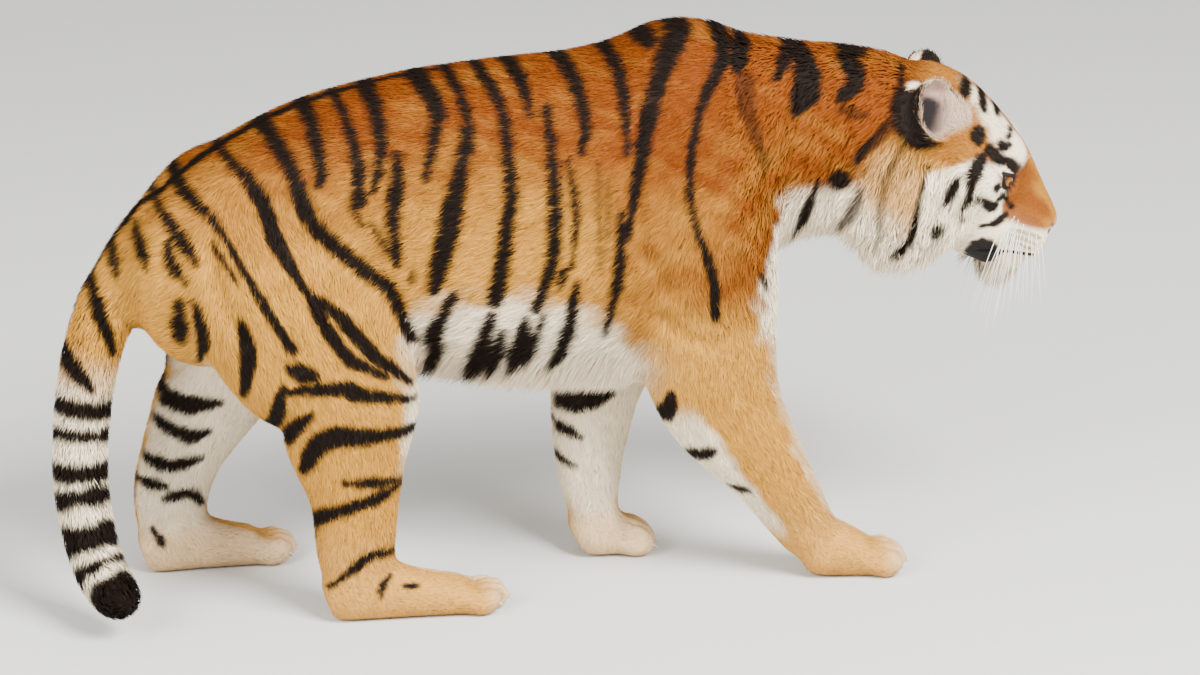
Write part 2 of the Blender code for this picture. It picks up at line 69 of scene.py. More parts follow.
# ---- The limbs: each row is a point on the axis and the radius there, in the lie of the coat ----
LIMBS = {
    "trunk": [
        (0.36, 0.0, 0.72, 0.17), (0.20, 0.0, 0.68, 0.22), (0.00, 0.0, 0.65, 0.22),
        (-0.28, 0.0, 0.66, 0.21), (-0.46, 0.0, 0.66, 0.19), (-0.60, 0.0, 0.64, 0.16),
        (-0.70, 0.0, 0.60, 0.10),
    ],
    "neck": [
        (0.60, 0.0, 0.76, 0.15), (0.45, 0.0, 0.76, 0.16), (0.30, 0.0, 0.74, 0.18),
    ],
    "tail": [
        (-0.69, 0.0, 0.645, 0.062), (-0.768, -0.007, 0.550, 0.055), (-0.804, -0.013, 0.450, 0.052),
        (-0.824, -0.023, 0.340, 0.050), (-0.831, -0.039, 0.240, 0.049), (-0.822, -0.063, 0.155, 0.048),
        (-0.806, -0.101, 0.098, 0.046), (-0.788, -0.146, 0.076, 0.044), (-0.776, -0.200, 0.082, 0.030),
    ],
    "foreleg_right": [
        (0.22, -0.10, 0.62, 0.11), (0.245, -0.118, 0.50, 0.105), (0.262, -0.112, 0.37, 0.095),
        (0.343, -0.105, 0.212, 0.068), (0.400, -0.099, 0.123, 0.056), (0.445, -0.095, 0.055, 0.055),
        (0.575, -0.105, 0.030, 0.045),
    ],
    "foreleg_left": [
        (0.20, 0.10, 0.62, 0.11), (0.185, 0.112, 0.52, 0.105), (0.125, 0.103, 0.40, 0.090),
        (0.085, 0.090, 0.300, 0.072), (0.070, 0.080, 0.200, 0.062), (0.076, 0.072, 0.100, 0.052),
        (0.100, 0.072, 0.045, 0.050), (0.165, 0.076, 0.030, 0.045),
    ],
    "hindleg_right": [
        (-0.50, -0.10, 0.66, 0.14), (-0.455, -0.125, 0.52, 0.135), (-0.395, -0.133, 0.40, 0.110),
        (-0.382, -0.136, 0.305, 0.085), (-0.376, -0.139, 0.215, 0.066), (-0.376, -0.141, 0.110, 0.060),
        (-0.330, -0.141, 0.045, 0.055), (-0.140, -0.141, 0.030, 0.045),
    ],
    "hindleg_left": [
        (-0.54, 0.10, 0.66, 0.14), (-0.545, 0.125, 0.52, 0.125), (-0.545, 0.135, 0.40, 0.100),
        (-0.592, 0.140, 0.305, 0.078), (-0.640, 0.142, 0.215, 0.064), (-0.663, 0.142, 0.110, 0.057),
        (-0.620, 0.142, 0.045, 0.050), (-0.470, 0.152, 0.030, 0.045),
    ],
}
HEAD_AXIS = [
    (0.235, 0.0, -0.045, 0.045), (0.150, 0.0, -0.050, 0.075), (0.020, 0.0, -0.040, 0.115),
    (-0.140, 0.0, 0.000, 0.120),
]
LIMBS["head"] = [(*(HEAD_FRAME @ Vector(row[:3])), row[3]) for row in HEAD_AXIS]

# ---- The feet: where the ankle's axis meets the floor, the heading in degrees, the reach to the
# toes' tips and half the width ----
Foot = namedtuple("Foot", "x y heading reach half")
FEET = (
    Foot(0.462, -0.094, -3.0, 0.158, 0.058),
    Foot(0.094, 0.072, 3.0, 0.112, 0.056),
    Foot(-0.350, -0.140, 0.0, 0.258, 0.052),
    Foot(-0.640, 0.142, 4.0, 0.220, 0.050),
)
TOES = (-1.5, -0.5, 0.5, 1.5)
TOE_PITCH = 0.487
TOE_LENGTH = 0.062
FOOT_MARGIN = 0.03
FOOT_SIDE = 1.6
GROOVE_HALF = 0.0065
DIP_HALF = 0.030
DIP_BACK = 0.018

# ---- Places in the head's frame ----
EYE = (0.104, 0.0605, 0.004)
EYE_RADIUS = 0.0180
EAR = (-0.066, 0.112, 0.056)
LEFT_EAR_AHEAD = 0.010
EAR_SIZE = (0.058, 0.053, 0.060)
EAR_TURN = 46.0
EAR_TILT = -10.0
EAR_ROLL = 14.0
EAR_BEHIND = 0.50
EAR_UNDER = 0.70

# ---- The coat: the length and width of a tuft, how deep the skin lies under the tips, how upright a
# tuft is, how many grow on each square centimetre, and how far they hang where the skin faces down ----
Coat = namedtuple("Coat", "length width depth rise dense hang", defaults=(0.0,))
COATS = {
    "back": Coat(0.024, 0.0026, 0.010, 0.62, 8.0),
    "neck": Coat(0.032, 0.0028, 0.015, 0.68, 5.8, 0.020),
    "belly": Coat(0.044, 0.0029, 0.022, 0.78, 6.2, 0.030),
    "leg": Coat(0.017, 0.0022, 0.007, 0.60, 10.0),
    "paw": Coat(0.010, 0.0017, 0.004, 0.50, 13.0),
    "tail": Coat(0.028, 0.0026, 0.013, 0.95, 9.0),
    "ruff": Coat(0.044, 0.0024, 0.018, 0.72, 8.4, 0.032),
    "crown": Coat(0.013, 0.0018, 0.005, 0.50, 14.0),
    "face": Coat(0.007, 0.0013, 0.0025, 0.50, 40.0),
    "chin": Coat(0.044, 0.0016, 0.004, 0.90, 20.0, 0.038),
    "ear": Coat(0.010, 0.0015, 0.0015, 0.60, 20.0),
    "inner_ear": Coat(0.020, 0.0015, 0.0015, 4.0, 9.0),
}


# ---- Numbers on arrays of points ----
def smooth(low, high, value):
    """Nought below low, one above high, and an easy curve between."""
    share = np.clip((value - low) / (high - low), 0.0, 1.0)
    return share * share * (3.0 - 2.0 * share)


def unit(vectors):
    """The vectors made one long."""
    return vectors / np.maximum(np.linalg.norm(vectors, axis=-1, keepdims=True), 1e-9)


def dots(a, b):
    """The dot product of each row of a with its row of b."""
    return np.einsum("ij,ij->i", a, b)


def ripple(points, pitch, seed):
    """A smooth field between about -1 and 1, with a pitch from crest to crest."""
    rng = np.random.default_rng(seed)
    total = np.zeros(len(points))
    for _ in range(6):
        way = unit(rng.normal(size=points.shape[1])) * rng.uniform(0.7, 1.5) * 2 * math.pi / pitch
        total += np.sin(points @ way + rng.uniform(0, 2 * math.pi))
    return total / 3.0


def head_place(points):
    """Points in the head's frame."""
    return (points - HEAD_MIDDLE) @ HEAD_TURN


def sides(y):
    """For each point a vector that mirrors a place on the left to the point's own side."""
    return np.stack([np.ones(len(y)), np.where(y < 0, -1, 1), np.ones(len(y))], 1)


def head_share(points):
    """One on the head and nought on the neck and body."""
    local = head_place(points)
    ahead_of_legs = smooth(0.47, 0.52, points[:, 0]) * smooth(0.42, 0.46, points[:, 2])
    return smooth(-0.15, -0.09, local[:, 0]) * ahead_of_legs


def limb_place(points, rows):
    """For each point: its distance from a limb's axis over the limb's radius, how far along the limb
    it lies, and the way the axis runs there."""
    rows = np.array(rows)
    reach = np.full(len(points), np.inf)
    along = np.zeros(len(points))
    way = np.zeros((len(points), 3))
    for i, (a, b) in enumerate(zip(rows, rows[1:])):
        span = b[:3] - a[:3]
        share = np.clip((points - a[:3]) @ span / (span @ span), 0.0, 1.0)
        radius = a[3] + (b[3] - a[3]) * share
        off = np.linalg.norm(points - a[:3] - share[:, None] * span, axis=1) / radius
        closer = off < reach
        reach[closer] = off[closer]
        along[closer] = (i + share[closer]) / (len(rows) - 1)
        way[closer] = unit(span)
    return reach, along, way


def limb_shares(points, sharpness=9.0):
    """How much of each point belongs to each limb, and the limb's place and way there."""
    places = {name: limb_place(points, rows) for name, rows in LIMBS.items()}
    nearness = {name: np.exp(-sharpness * np.minimum(place[0], 4.0)) for name, place in places.items()}
    total = sum(nearness.values())
    return {name: nearness[name] / total for name in LIMBS}, places


def limb_sum(shares, part):
    """The shares of the limbs whose names hold part, added up."""
    return sum(shares[name] for name in shares if part in name)


def foot_place(points, foot):
    """How far points lie ahead of a foot's ankle and to its left."""
    turn = math.radians(foot.heading)
    x, y = points[:, 0] - foot.x, points[:, 1] - foot.y
    return x * math.cos(turn) + y * math.sin(turn), y * math.cos(turn) - x * math.sin(turn)


def on_a_foot(points, form):
    """The most that form(ahead, across, foot) gives on any foot; it is nought beside and before them."""
    found = np.zeros(len(points))
    for foot in FEET:
        ahead, across = foot_place(points, foot)
        near = (ahead < foot.reach + FOOT_MARGIN) & (np.abs(across) < FOOT_SIDE * foot.half)
        found = np.maximum(found, form(ahead, across, foot) * near)
    return found


def between_toes(points):
    """One in the grooves between the toes and nought outside them."""
    def groove(ahead, across, foot):
        place = across / (TOE_PITCH * foot.half)
        off = np.abs(place - np.clip(np.round(place), -1, 1)) * TOE_PITCH * foot.half
        back = foot.reach - TOE_LENGTH
        return smooth(GROOVE_HALF, 0.0, off) * smooth(back - 0.02, back + 0.015, ahead)

    return on_a_foot(points, groove) * smooth(0.085, 0.060, points[:, 2])


def on_toes(points):
    """One on the ends of the toes and nought behind them."""
    def end(ahead, across, foot):
        return smooth(foot.reach - 1.3 * TOE_LENGTH, foot.reach - 0.4 * TOE_LENGTH, ahead)

    return on_a_foot(points, end) * smooth(0.10, 0.08, points[:, 2])


def behind_toes(points):
    """One in the dip on a foot's top behind its toes and nought away from it."""
    def dip(ahead, across, foot):
        return smooth(DIP_HALF, 0.0, np.abs(ahead - foot.reach + TOE_LENGTH + DIP_BACK))

    return on_a_foot(points, dip) * smooth(0.022, 0.045, points[:, 2]) * smooth(0.14, 0.10, points[:, 2])


def near_toes(points):
    """One where the skin's mesh is made finer for the toes."""
    def toes(ahead, across, foot):
        return ahead > foot.reach - TOE_LENGTH - 0.02

    return (on_a_foot(points, toes) > 0) & (points[:, 2] < 0.09)


def ear_place(points):
    """Points in the frame of the ear on their side, over its size: the cup's outer wall is 1 from the
    middle, and the cup opens towards +X."""
    right = head_place(points)[:, 1] < 0
    placed = np.zeros_like(points)
    for side, chosen in ((-1, right), (1, ~right)):
        ahead = LEFT_EAR_AHEAD if side > 0 else 0.0
        middle = np.array(HEAD_FRAME @ Vector((EAR[0] + ahead, side * EAR[1], EAR[2])))
        angles = (-side * EAR_ROLL, EAR_TILT, side * EAR_TURN)
        turn = np.array(HEAD_YAW @ Euler([math.radians(angle) for angle in angles]).to_matrix())
        placed[chosen] = (points[chosen] - middle) @ turn / EAR_SIZE
    return placed


def ear_share(points):
    """One on the cup of an ear and nought on the head."""
    placed = ear_place(points)
    inside = smooth(1.35, 1.15, np.linalg.norm(placed, axis=1))
    inside = inside * (points[:, 0] > EAR_BEHIND) * (points[:, 2] > EAR_UNDER)
    outer = smooth(0.055, 0.075, np.abs(head_place(points)[:, 1]))
    return inside * smooth(-0.95, -0.55, placed[:, 2]) * outer


def ear_back(points):
    """One on the outside of an ear's cup and nought on its inside."""
    placed = ear_place(points)
    return smooth(0.88, 0.94, np.linalg.norm(placed, axis=1)) * smooth(0.02, -0.12, placed[:, 0])


def coat_shares(points):
    """How much of each kind of coat grows at each point, painted one over the other."""
    shares, _ = limb_shares(points)
    local = head_place(points)
    x, _, z = points.T
    legs = limb_sum(shares, "leg")
    head = head_share(points)
    mixed = {"back": np.ones(len(points))}

    def lay(name, share):
        for other in mixed:
            mixed[other] = mixed[other] * (1.0 - share)
        mixed[name] = mixed.get(name, 0.0) + share

    lay("belly", smooth(0.50, 0.40, z) * smooth(-0.50, -0.36, x) * smooth(0.22, 0.10, x) * (1.0 - legs))
    lay("leg", legs * smooth(0.55, 0.42, z))
    lay("paw", smooth(0.14, 0.08, z) * smooth(0.3, 0.7, legs))
    lay("tail", shares["tail"])
    lay("neck", smooth(0.24, 0.36, x) * smooth(0.52, 0.62, z) * (1.0 - legs))
    lay("crown", head)
    low = smooth(0.01, -0.05, local[:, 2])
    back = smooth(0.115, 0.055, local[:, 0])
    lay("ruff", head * low * back * smooth(0.035, 0.06, np.abs(local[:, 1])))
    lay("face", head * smooth(0.075, 0.12, local[:, 0]))
    lay("chin", head * smooth(-0.115, -0.135, local[:, 2]) * smooth(0.13, 0.16, local[:, 0]))
    ears = ear_share(points)
    lay("ear", ears)
    lay("inner_ear", ears * (1.0 - ear_back(points)))
    return mixed


def coat_value(shares, field):
    """One of the coats' numbers at each point, mixed by their shares."""
    return sum(share * getattr(COATS[name], field) for name, share in shares.items())


# ---- The lie of the coat ----
FALL = 22.0
CHIN_FALL = 1.6
SIDE_FALL = 0.42


def head_lie(points):
    """The way hair runs on the head: back over the crown, down the cheeks, back and down on the muzzle."""
    local = head_place(points)
    x, y, z = local.T
    side = np.sign(y)
    low = smooth(0.02, -0.04, z) * smooth(0.13, 0.07, x)
    muzzle = smooth(0.13, 0.17, x) * smooth(-0.01, -0.04, z)
    one = np.ones(len(x))
    top = np.stack([-one, 0.25 * side * smooth(0.01, 0.05, np.abs(y)), 0.10 * one], 1)
    cheek = np.stack([0.05 * one, 0.35 * side, -one], 1)
    lip = np.stack([-0.7 * one, 0.5 * side, -0.6 * one], 1)
    lips = muzzle * (1 - low)
    lie = top * (1 - low - lips)[:, None] + cheek * low[:, None] + lip * lips[:, None]
    ears = ear_share(points)[:, None]
    up = np.stack([-0.2 * one, 0.5 * side, one], 1)
    lie = lie * (1 - ears) + up * ears
    edge, _, _ = lid_place(local)
    from_eye = 1.4 * smooth(4.5, 1.5, edge)[:, None]
    lie = unit(lie) + from_eye * unit(local - mirrored_place(y, EYE))
    lie = lie @ HEAD_TURN.T
    behind = (smooth(0.03, -0.05, x) * (1 - low))[:, None] * (1 - ears)
    return unit(lie) * (1 - behind) + np.array([-1.0, 0.0, -0.25]) * behind


def lie_of_coat(points, normals):
    """The way hair runs over the skin, square to the skin's normal."""
    shares, places = limb_shares(points, 7.0)
    side = np.clip(1.0 - np.abs(normals[:, 2]), 0.0, 1.0)
    down = np.array([0.0, 0.0, -1.0])
    total = np.zeros_like(points)
    for name, share in shares.items():
        way = places[name][2]
        if name == "head":
            way = np.array([-1.0, 0.0, -0.1])
        if name in ("trunk", "neck"):
            way = way + SIDE_FALL * side[:, None] * down
        total += share[:, None] * way
    head = head_share(points)[:, None]
    total = total * (1 - head) + unit(head_lie(points)) * head
    coats = coat_shares(points)
    total += FALL * coat_value(coats, "hang")[:, None] * down
    total += CHIN_FALL * coats["chin"][:, None] * down
    total -= normals * dots(total, normals)[:, None]
    return unit(total)


# ---- Mesh helpers ----
def read(items, key, width, kind=np.float32):
    """A row of numbers from each of a mesh's items."""
    flat = np.empty(width * len(items), kind)
    items.foreach_get(key, flat)
    return flat.reshape(-1, width)


def points_of(mesh):
    """The mesh's vertices, one a row."""
    return read(mesh.vertices, "co", 3).astype(float)


def normals_of(mesh):
    """The normal at each vertex."""
    return read(mesh.vertex_normals, "vector", 3).astype(float)


def edges_of(mesh):
    """The two vertices of each edge."""
    return read(mesh.edges, "vertices", 2, np.int32)


def triangles_of(mesh):
    """The three vertices of each triangle."""
    mesh.calc_loop_triangles()
    return read(mesh.loop_triangles, "vertices", 3, np.int32)


def mesh_from(work, name):
    """A new mesh of what is in work, which is freed."""
    mesh = bpy.data.meshes.new(name)
    work.to_mesh(mesh)
    work.free()
    return mesh


def move_points(mesh, points):
    """Puts the mesh's vertices at the given points."""
    mesh.vertices.foreach_set("co", points.astype(np.float32).ravel())
    mesh.update()


def relaxed(values, edges, share, rounds):
    """Moves each row of values towards the mean of its neighbours'."""
    a, b = edges.T
    count = len(values)
    degree = np.maximum(np.bincount(a, minlength=count) + np.bincount(b, minlength=count), 1)
    for _ in range(rounds):
        mean = np.stack([
            np.bincount(a, column[b], count) + np.bincount(b, column[a], count)
            for column in values.T
        ], 1) / degree[:, None]
        values = values + share[:, None] * (mean - values)
    return values


def link(item):
    """Adds an object to the scene and returns it."""
    bpy.context.scene.collection.objects.link(item)
    return item


def apply_modifiers(item):
    """Makes what an object's modifiers give its own mesh."""
    bpy.context.view_layer.update()
    seen = item.evaluated_get(bpy.context.evaluated_depsgraph_get())
    item.data = bpy.data.meshes.new_from_object(seen)
    item.modifiers.clear()


def shade_smooth(mesh):
    """Shades every face smooth."""
    for face in mesh.polygons:
        face.use_smooth = True


def opaque(colours):
    """Colours with full cover as their fourth number."""
    return np.hstack([colours, np.ones((len(colours), 1))])


def set_attribute(mesh, name, kind, values):
    """Stores one value a vertex: FLOAT or FLOAT_COLOR."""
    layer = mesh.attributes.new(name, kind, "POINT")
    key = {"FLOAT": "value", "FLOAT_COLOR": "color"}[kind]
    layer.data.foreach_set(key, np.ascontiguousarray(values, np.float32).ravel())


# ---- The face's forms ----
GAZE = (0.72, 0.69, 0.05)
LID_WIDE = 56.0
LID_UPPER = 32.0
LID_LOWER = 27.0
LID_TILT = math.radians(20.0)
LID_RISE = 0.0016
LID_DEEP = 0.0040
MOUTH_CORNER = (0.150, -0.126)
NOSTRIL = (0.0130, -0.0330)
NOSTRIL_DEEP = 0.0075
NOSE_TOP = -0.012
NOSE_FRONT = 0.222
NOSE_PAD = (
    [-0.066, -0.052, -0.040, -0.026, -0.016, -0.010],
    [0.003, 0.008, 0.019, 0.024, 0.020, 0.0],
)
MOUTH_END = 0.225
MOUTH_DEEP = 0.0040
LIP_RISE = 0.0016
LIP_GROOVE_DEEP = 0.0022
NOTCH_DEEP = 0.0050
HOLLOW_DEEP = 0.0080
NOSE_RIM_DEEP = 0.0012
PATCH_SIZE = 0.028


def eye_axes():
    """The left eye's gaze, the way to its front corner, and the way to its upper lid."""
    gaze = unit(np.array(GAZE))
    up = unit(np.array([0.0, 0.0, 1.0]) - gaze * gaze[2])
    return gaze, -np.cross(up, gaze), up


def lid_place(local):
    """For places in the head's frame: 1 on the lids' edge and less inside it, the distance from the
    eye's middle, and the way from there with the sides alike."""
    away = local * sides(local[:, 1]) - np.array(EYE)
    reach = np.linalg.norm(away, axis=1)
    way = away / np.maximum(reach, 1e-6)[:, None]
    gaze, across, up = eye_axes()
    u = np.degrees(np.arcsin(np.clip(way @ across, -1, 1)))
    v = np.degrees(np.arcsin(np.clip(way @ up, -1, 1)))
    u, v = math.cos(LID_TILT) * u - math.sin(LID_TILT) * v, math.sin(LID_TILT) * u + math.cos(LID_TILT) * v
    edge = np.abs(v) / np.where(v > 0, LID_UPPER, LID_LOWER) + (u / LID_WIDE) ** 2
    edge = edge + 9.0 * (way @ gaze < 0.15) + 9.0 * smooth(0.034, 0.046, reach)
    return edge, reach, way


def mouth_line(x):
    """The height of the mouth's line, which runs back and down from the muzzle's tip."""
    back = MOUTH_END - x
    return -0.086 - 0.34 * back - 1.6 * back ** 2


def lip_and_mouth_shade_patch(local):
    """One on the black patch behind the mouth's corner: black lip skin, with painted shade of a slightly
    open mouth.
    """
    x, y, z = local.T
    reach = np.hypot(x - MOUTH_CORNER[0], z - MOUTH_CORNER[1]) / PATCH_SIZE + 0.10 * ripple(local, 0.014, 3)
    return smooth(1.25, 0.85, reach) * (np.abs(y) > 0.014)


def nose_half_width(z):
    """Half the nose pad's width at each height."""
    return np.interp(z, *NOSE_PAD)


def nostril(local):
    """One in a nostril and nought outside it: a round hole with a slit that runs out and up."""
    out = np.abs(local[:, 1]) - NOSTRIL[0]
    up = local[:, 2] - NOSTRIL[1]
    hole = np.hypot(out / 0.0058, up / 0.0046)
    slit = np.hypot((out - 0.007) / 0.0065, (up - 0.002 - 0.35 * out) / 0.0018)
    return smooth(1.25, 0.75, np.minimum(hole, slit)) * (local[:, 0] > NOSE_FRONT)


def sculpted(points, normals):
    """The skin's points with the lids, nostrils, lips and muzzle's creases worked into them."""
    local = head_place(points)
    head = head_share(points)
    x, y, z = local.T
    edge, reach, way = lid_place(local)
    rim = EYE_RADIUS + LID_RISE
    wanted = rim + (reach - rim) * smooth(1.15, 2.8, edge)
    wanted = np.where(edge < 1.0, EYE_RADIUS - LID_DEEP, wanted)
    wanted = np.where(edge > 8.0, reach, wanted)
    moved = (np.array(EYE) + way * wanted[:, None]) * sides(y)
    local = np.where((head > 0.5)[:, None], moved, local)
    x, y, z = local.T
    inward = np.zeros(len(x))
    inward += NOSTRIL_DEEP * nostril(local)
    middle = np.abs(y)
    groove = smooth(0.0016, 0.0004, middle) * smooth(-0.040, -0.046, z) * (z > mouth_line(x)) * (x > 0.215)
    inward += LIP_GROOVE_DEEP * groove
    crease = np.abs(z - mouth_line(x))
    along = smooth(0.135, 0.150, x)
    inward += MOUTH_DEEP * smooth(0.0050, 0.0010, crease) * along
    inward -= LIP_RISE * smooth(0.010, 0.005, crease) * smooth(0.004, 0.006, crease) * along
    notch = smooth(0.010, 0.0, np.abs(z + 0.054)) * smooth(0.212, 0.222, x) * smooth(0.034, 0.020, middle)
    inward += NOTCH_DEEP * notch
    hollow = smooth(0.115, 0.150, x) * smooth(0.215, 0.170, x)
    hollow = hollow * smooth(0.045, 0.015, z) * smooth(-0.050, -0.025, z)
    inward += HOLLOW_DEEP * hollow * smooth(0.030, 0.055, middle)
    alar = np.abs(middle - nose_half_width(z) - 0.002)
    inward += NOSE_RIM_DEEP * smooth(0.003, 0.0, alar) * (x > NOSE_FRONT) * (z < NOSE_TOP)
    inward = head * inward + TOE_DEEP * between_toes(points) + DIP_DEEP * behind_toes(points)
    shares, _ = limb_shares(points)
    folds = smooth(-FOLD_SIDE, 0.0, ink(side_places(points, shares), FOLDS))
    folds = folds * smooth(0.05, 0.09, np.abs(points[:, 1]))
    inward = inward + FOLD_DEEP * folds * (1 - head)
    return HEAD_MIDDLE + local @ HEAD_TURN.T - inward[:, None] * normals


def bare_parts(points):
    """Where no coat grows: the nose pad, the black lids and lips, and the inside of the ears, with painted
    shade as black in the nostrils and the ears' holes.
    """
    local = head_place(points)
    head = head_share(points) > 0.5
    x, y, z = local.T
    edge, _, _ = lid_place(local)
    pad = smooth(-0.0005, 0.0015, nose_half_width(z) - np.abs(y)) * (x > NOSE_FRONT)
    pad = pad * smooth(NOSE_TOP, NOSE_TOP - 0.003, z) * smooth(-0.070, -0.066, z)
    lids = smooth(1.90, 1.62, edge)
    tear = smooth(0.0034, 0.0016, np.abs(z + 0.011 + 0.45 * (x - 0.120)))
    tear = tear * (x > 0.110) * (x < 0.134) * (np.abs(y) < 0.062)
    crease = np.abs(z - mouth_line(x) + 0.0015)
    lips = smooth(0.0040, 0.0022, crease) * smooth(0.140, 0.152, x)
    # The mouth's corner patch is black lip skin with painted shade of a slightly open mouth.
    lips = np.maximum(lips, lip_and_mouth_shade_patch(local))
    groove = smooth(0.0016, 0.0008, np.abs(y)) * smooth(-0.046, -0.050, z) * (z > mouth_line(x)) * (x > 0.22)
    wing = np.hypot((np.abs(y) - 0.0255) / 0.0140, (z + 0.0410) / 0.0080)
    wing = smooth(1.2, 0.8, wing) * (x > NOSE_FRONT - 0.024)
    # Painted shade: the nostrils are painted black, like the lids and lips.
    black = np.maximum.reduce([lids, lips, groove, nostril(local), tear, wing])
    placed = ear_place(points)
    inside = ear_share(points) * (1.0 - ear_back(points))
    # Painted shade: the ear's hole is painted black.
    hole = smooth(0.72, 0.46, np.hypot(placed[:, 1] + 0.10, placed[:, 2] + 0.14))
    hole = inside * hole * smooth(-0.15, -0.42, placed[:, 0])
    black = np.maximum(black * head, hole)
    return np.stack([pad * head, black, inside, np.ones(len(x))], 1)


# ---- Folds in the skin, as the stripes are given: their widths and the places they run through ----
FOLDS = [
    ((0.4,), (-33, 64), (-29.5, 57), (-27, 49), (-27.5, 44)),
    ((0.4,), (12, 86), (11, 76), (12, 66), (16, 57)),
    ((0.3,), (15, 52), (18, 49), (23, 47)),
    ((0.3,), (41, 88), (38.5, 80), (37, 70)),
    ((0.3,), (49.5, 84), (48, 75), (46, 66)),
    ((0.3,), (55, 78), (53, 68), (51, 60)),
    ((0.3,), (-61, 68), (-59.5, 60), (-56, 53)),
    ((0.3,), (-46, 45), (-48, 40), (-50, 34)),
]
FOLD_SIDE = 2.2
FOLD_DEEP = 0.0065
TOE_DEEP = 0.0078
DIP_DEEP = 0.0065

# ---- The skin ----
SWELL = 0.0007
WELD = 0.00001
SKIN_VOXEL = 0.0080
EVEN_ROUNDS = 22
EVEN_OUT = 0.62
EVEN_BACK = -0.633
FACE_FINE = 0.060
UNWRAP_ANGLE = 66.0
UNWRAP_GAP = 0.002
# Painted shade: how much darker the skin is painted than the coat over it.
SKIN_SHADE_UNDER_COAT = 0.9
DEPTH_ROUNDS = 12
SKIN_ROUNDS = 4
EYE_NEAR = 0.027


def frame_solid():
    """The frame's solids, each grown a little so that they run together, as one mesh."""
    gathered = bmesh.new()
    for name in (*FLESH_NODES, *EYE_NODES):
        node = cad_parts[name]
        part = bmesh.new()
        part.from_mesh(node.data)
        part.transform(node.matrix_world)
        bmesh.ops.remove_doubles(part, verts=part.verts, dist=WELD)
        part.normal_update()
        for vert in part.verts:
            vert.co += vert.normal * SWELL
        mesh = mesh_from(part, name)
        gathered.from_mesh(mesh)
        bpy.data.meshes.remove(mesh)
    return mesh_from(gathered, "tiger_skin")


def mirrored_place(y, place):
    """A place in the head's frame, on each point's own side."""
    return sides(y) * np.array(place)


def firmness(points):
    """How little each point may be smoothed: one on the body, less on feet and head, least on ears."""
    share = 1.0 - 0.45 * smooth(0.16, 0.08, points[:, 2])
    share = share * (1.0 - 0.60 * head_share(points))
    return share * (1.0 - 0.65 * ear_share(points) * head_share(points))


def fined(mesh, chosen):
    """Halves the edges of the faces whose middles are chosen, in the order of the mesh."""
    work = bmesh.new()
    work.from_mesh(mesh)
    middles = np.array([face.calc_center_median() for face in work.faces])
    edges = {edge for face, use in zip(work.faces, chosen(middles)) if use for edge in face.edges}
    edges = sorted(edges, key=lambda edge: edge.index)
    bmesh.ops.subdivide_edges(work, edges=edges, cuts=1, use_grid_fill=True)
    bmesh.ops.triangulate(work, faces=[face for face in work.faces if len(face.verts) > 4])
    work.to_mesh(mesh)
    work.free()


def on_head(near):
    """A choice among places in the head's frame, as a choice among points of the whole skin."""
    return lambda points: near(head_place(points)) & (head_share(points) > 0.5)


def on_face(local):
    """True on the front of the head."""
    return local[:, 0] > FACE_FINE


def near_features(local):
    """True near the eyes, nose and mouth."""
    x, _, z = local.T
    nose = (x > 0.210) & (z > -0.085)
    mouth = (x > 0.135) & (np.abs(z - mouth_line(x)) < 0.012)
    return near_eyes(local) | nose | mouth


def near_eyes(local):
    """True on and close round the lids."""
    return np.linalg.norm(local - mirrored_place(local[:, 1], EYE), axis=1) < EYE_NEAR


def skin_mesh(item):
    """Remeshes the frame's solids into one even surface and lets it sink by the coat's depth."""
    remesh = item.modifiers.new("One surface", "REMESH")
    remesh.mode = "VOXEL"
    remesh.voxel_size = SKIN_VOXEL
    apply_modifiers(item)
    mesh = item.data
    edges = edges_of(mesh)
    points = points_of(mesh)
    share = firmness(points)
    for _ in range(EVEN_ROUNDS):
        points = relaxed(points, edges, EVEN_OUT * share, 1)
        points = relaxed(points, edges, EVEN_BACK * share, 1)
    move_points(mesh, points)
    depth = coat_value(coat_shares(points), "depth")[:, None]
    depth = depth * (1.0 - bare_parts(points)[:, :1])
    depth = relaxed(depth, edges, np.full(len(points), 0.5), DEPTH_ROUNDS)
    points -= depth * normals_of(mesh)
    points = relaxed(points, edges, 0.5 * share, SKIN_ROUNDS)
    move_points(mesh, points)


def unwrapped(item):
    """Unwraps the skin over its own shape, for the coat's patches as well as for its own colours."""
    item.data.uv_layers.new(name="OFBake")
    bpy.context.view_layer.objects.active = item
    item.select_set(True)
    bpy.ops.object.mode_set(mode="EDIT")
    bpy.ops.mesh.select_all(action="SELECT")
    bpy.ops.uv.smart_project(angle_limit=math.radians(UNWRAP_ANGLE), island_margin=UNWRAP_GAP)
    bpy.ops.object.mode_set(mode="OBJECT")
    item.select_set(False)


def surface_of(mesh):
    """The mesh as a surface on which the nearest place can be found."""
    return BVHTree.FromPolygons(points_of(mesh).tolist(), triangles_of(mesh).tolist())


def build_skin():
    """The whole skin: one even surface, finer at the face and toes, coloured, then shaped there."""
    item = link(bpy.data.objects.new("tiger_skin", frame_solid()))
    skin_mesh(item)
    mesh = item.data
    unwrapped(item)
    for chosen in (on_head(on_face), on_head(near_features), on_head(near_eyes), near_toes):
        fined(mesh, chosen)
    shade_smooth(mesh)
    points = points_of(mesh)
    set_attribute(mesh, "marks_and_shade", "FLOAT_COLOR", opaque(markings_and_shade(points)))
    # The skin is painted a little darker than the coat, as painted shade under the tufts.
    set_attribute(mesh, "tone_and_shade", "FLOAT", np.full(len(points), SKIN_SHADE_UNDER_COAT))
    set_attribute(mesh, "bare", "FLOAT_COLOR", bare_parts(points))
    move_points(mesh, sculpted(points, normals_of(mesh)))
    return item
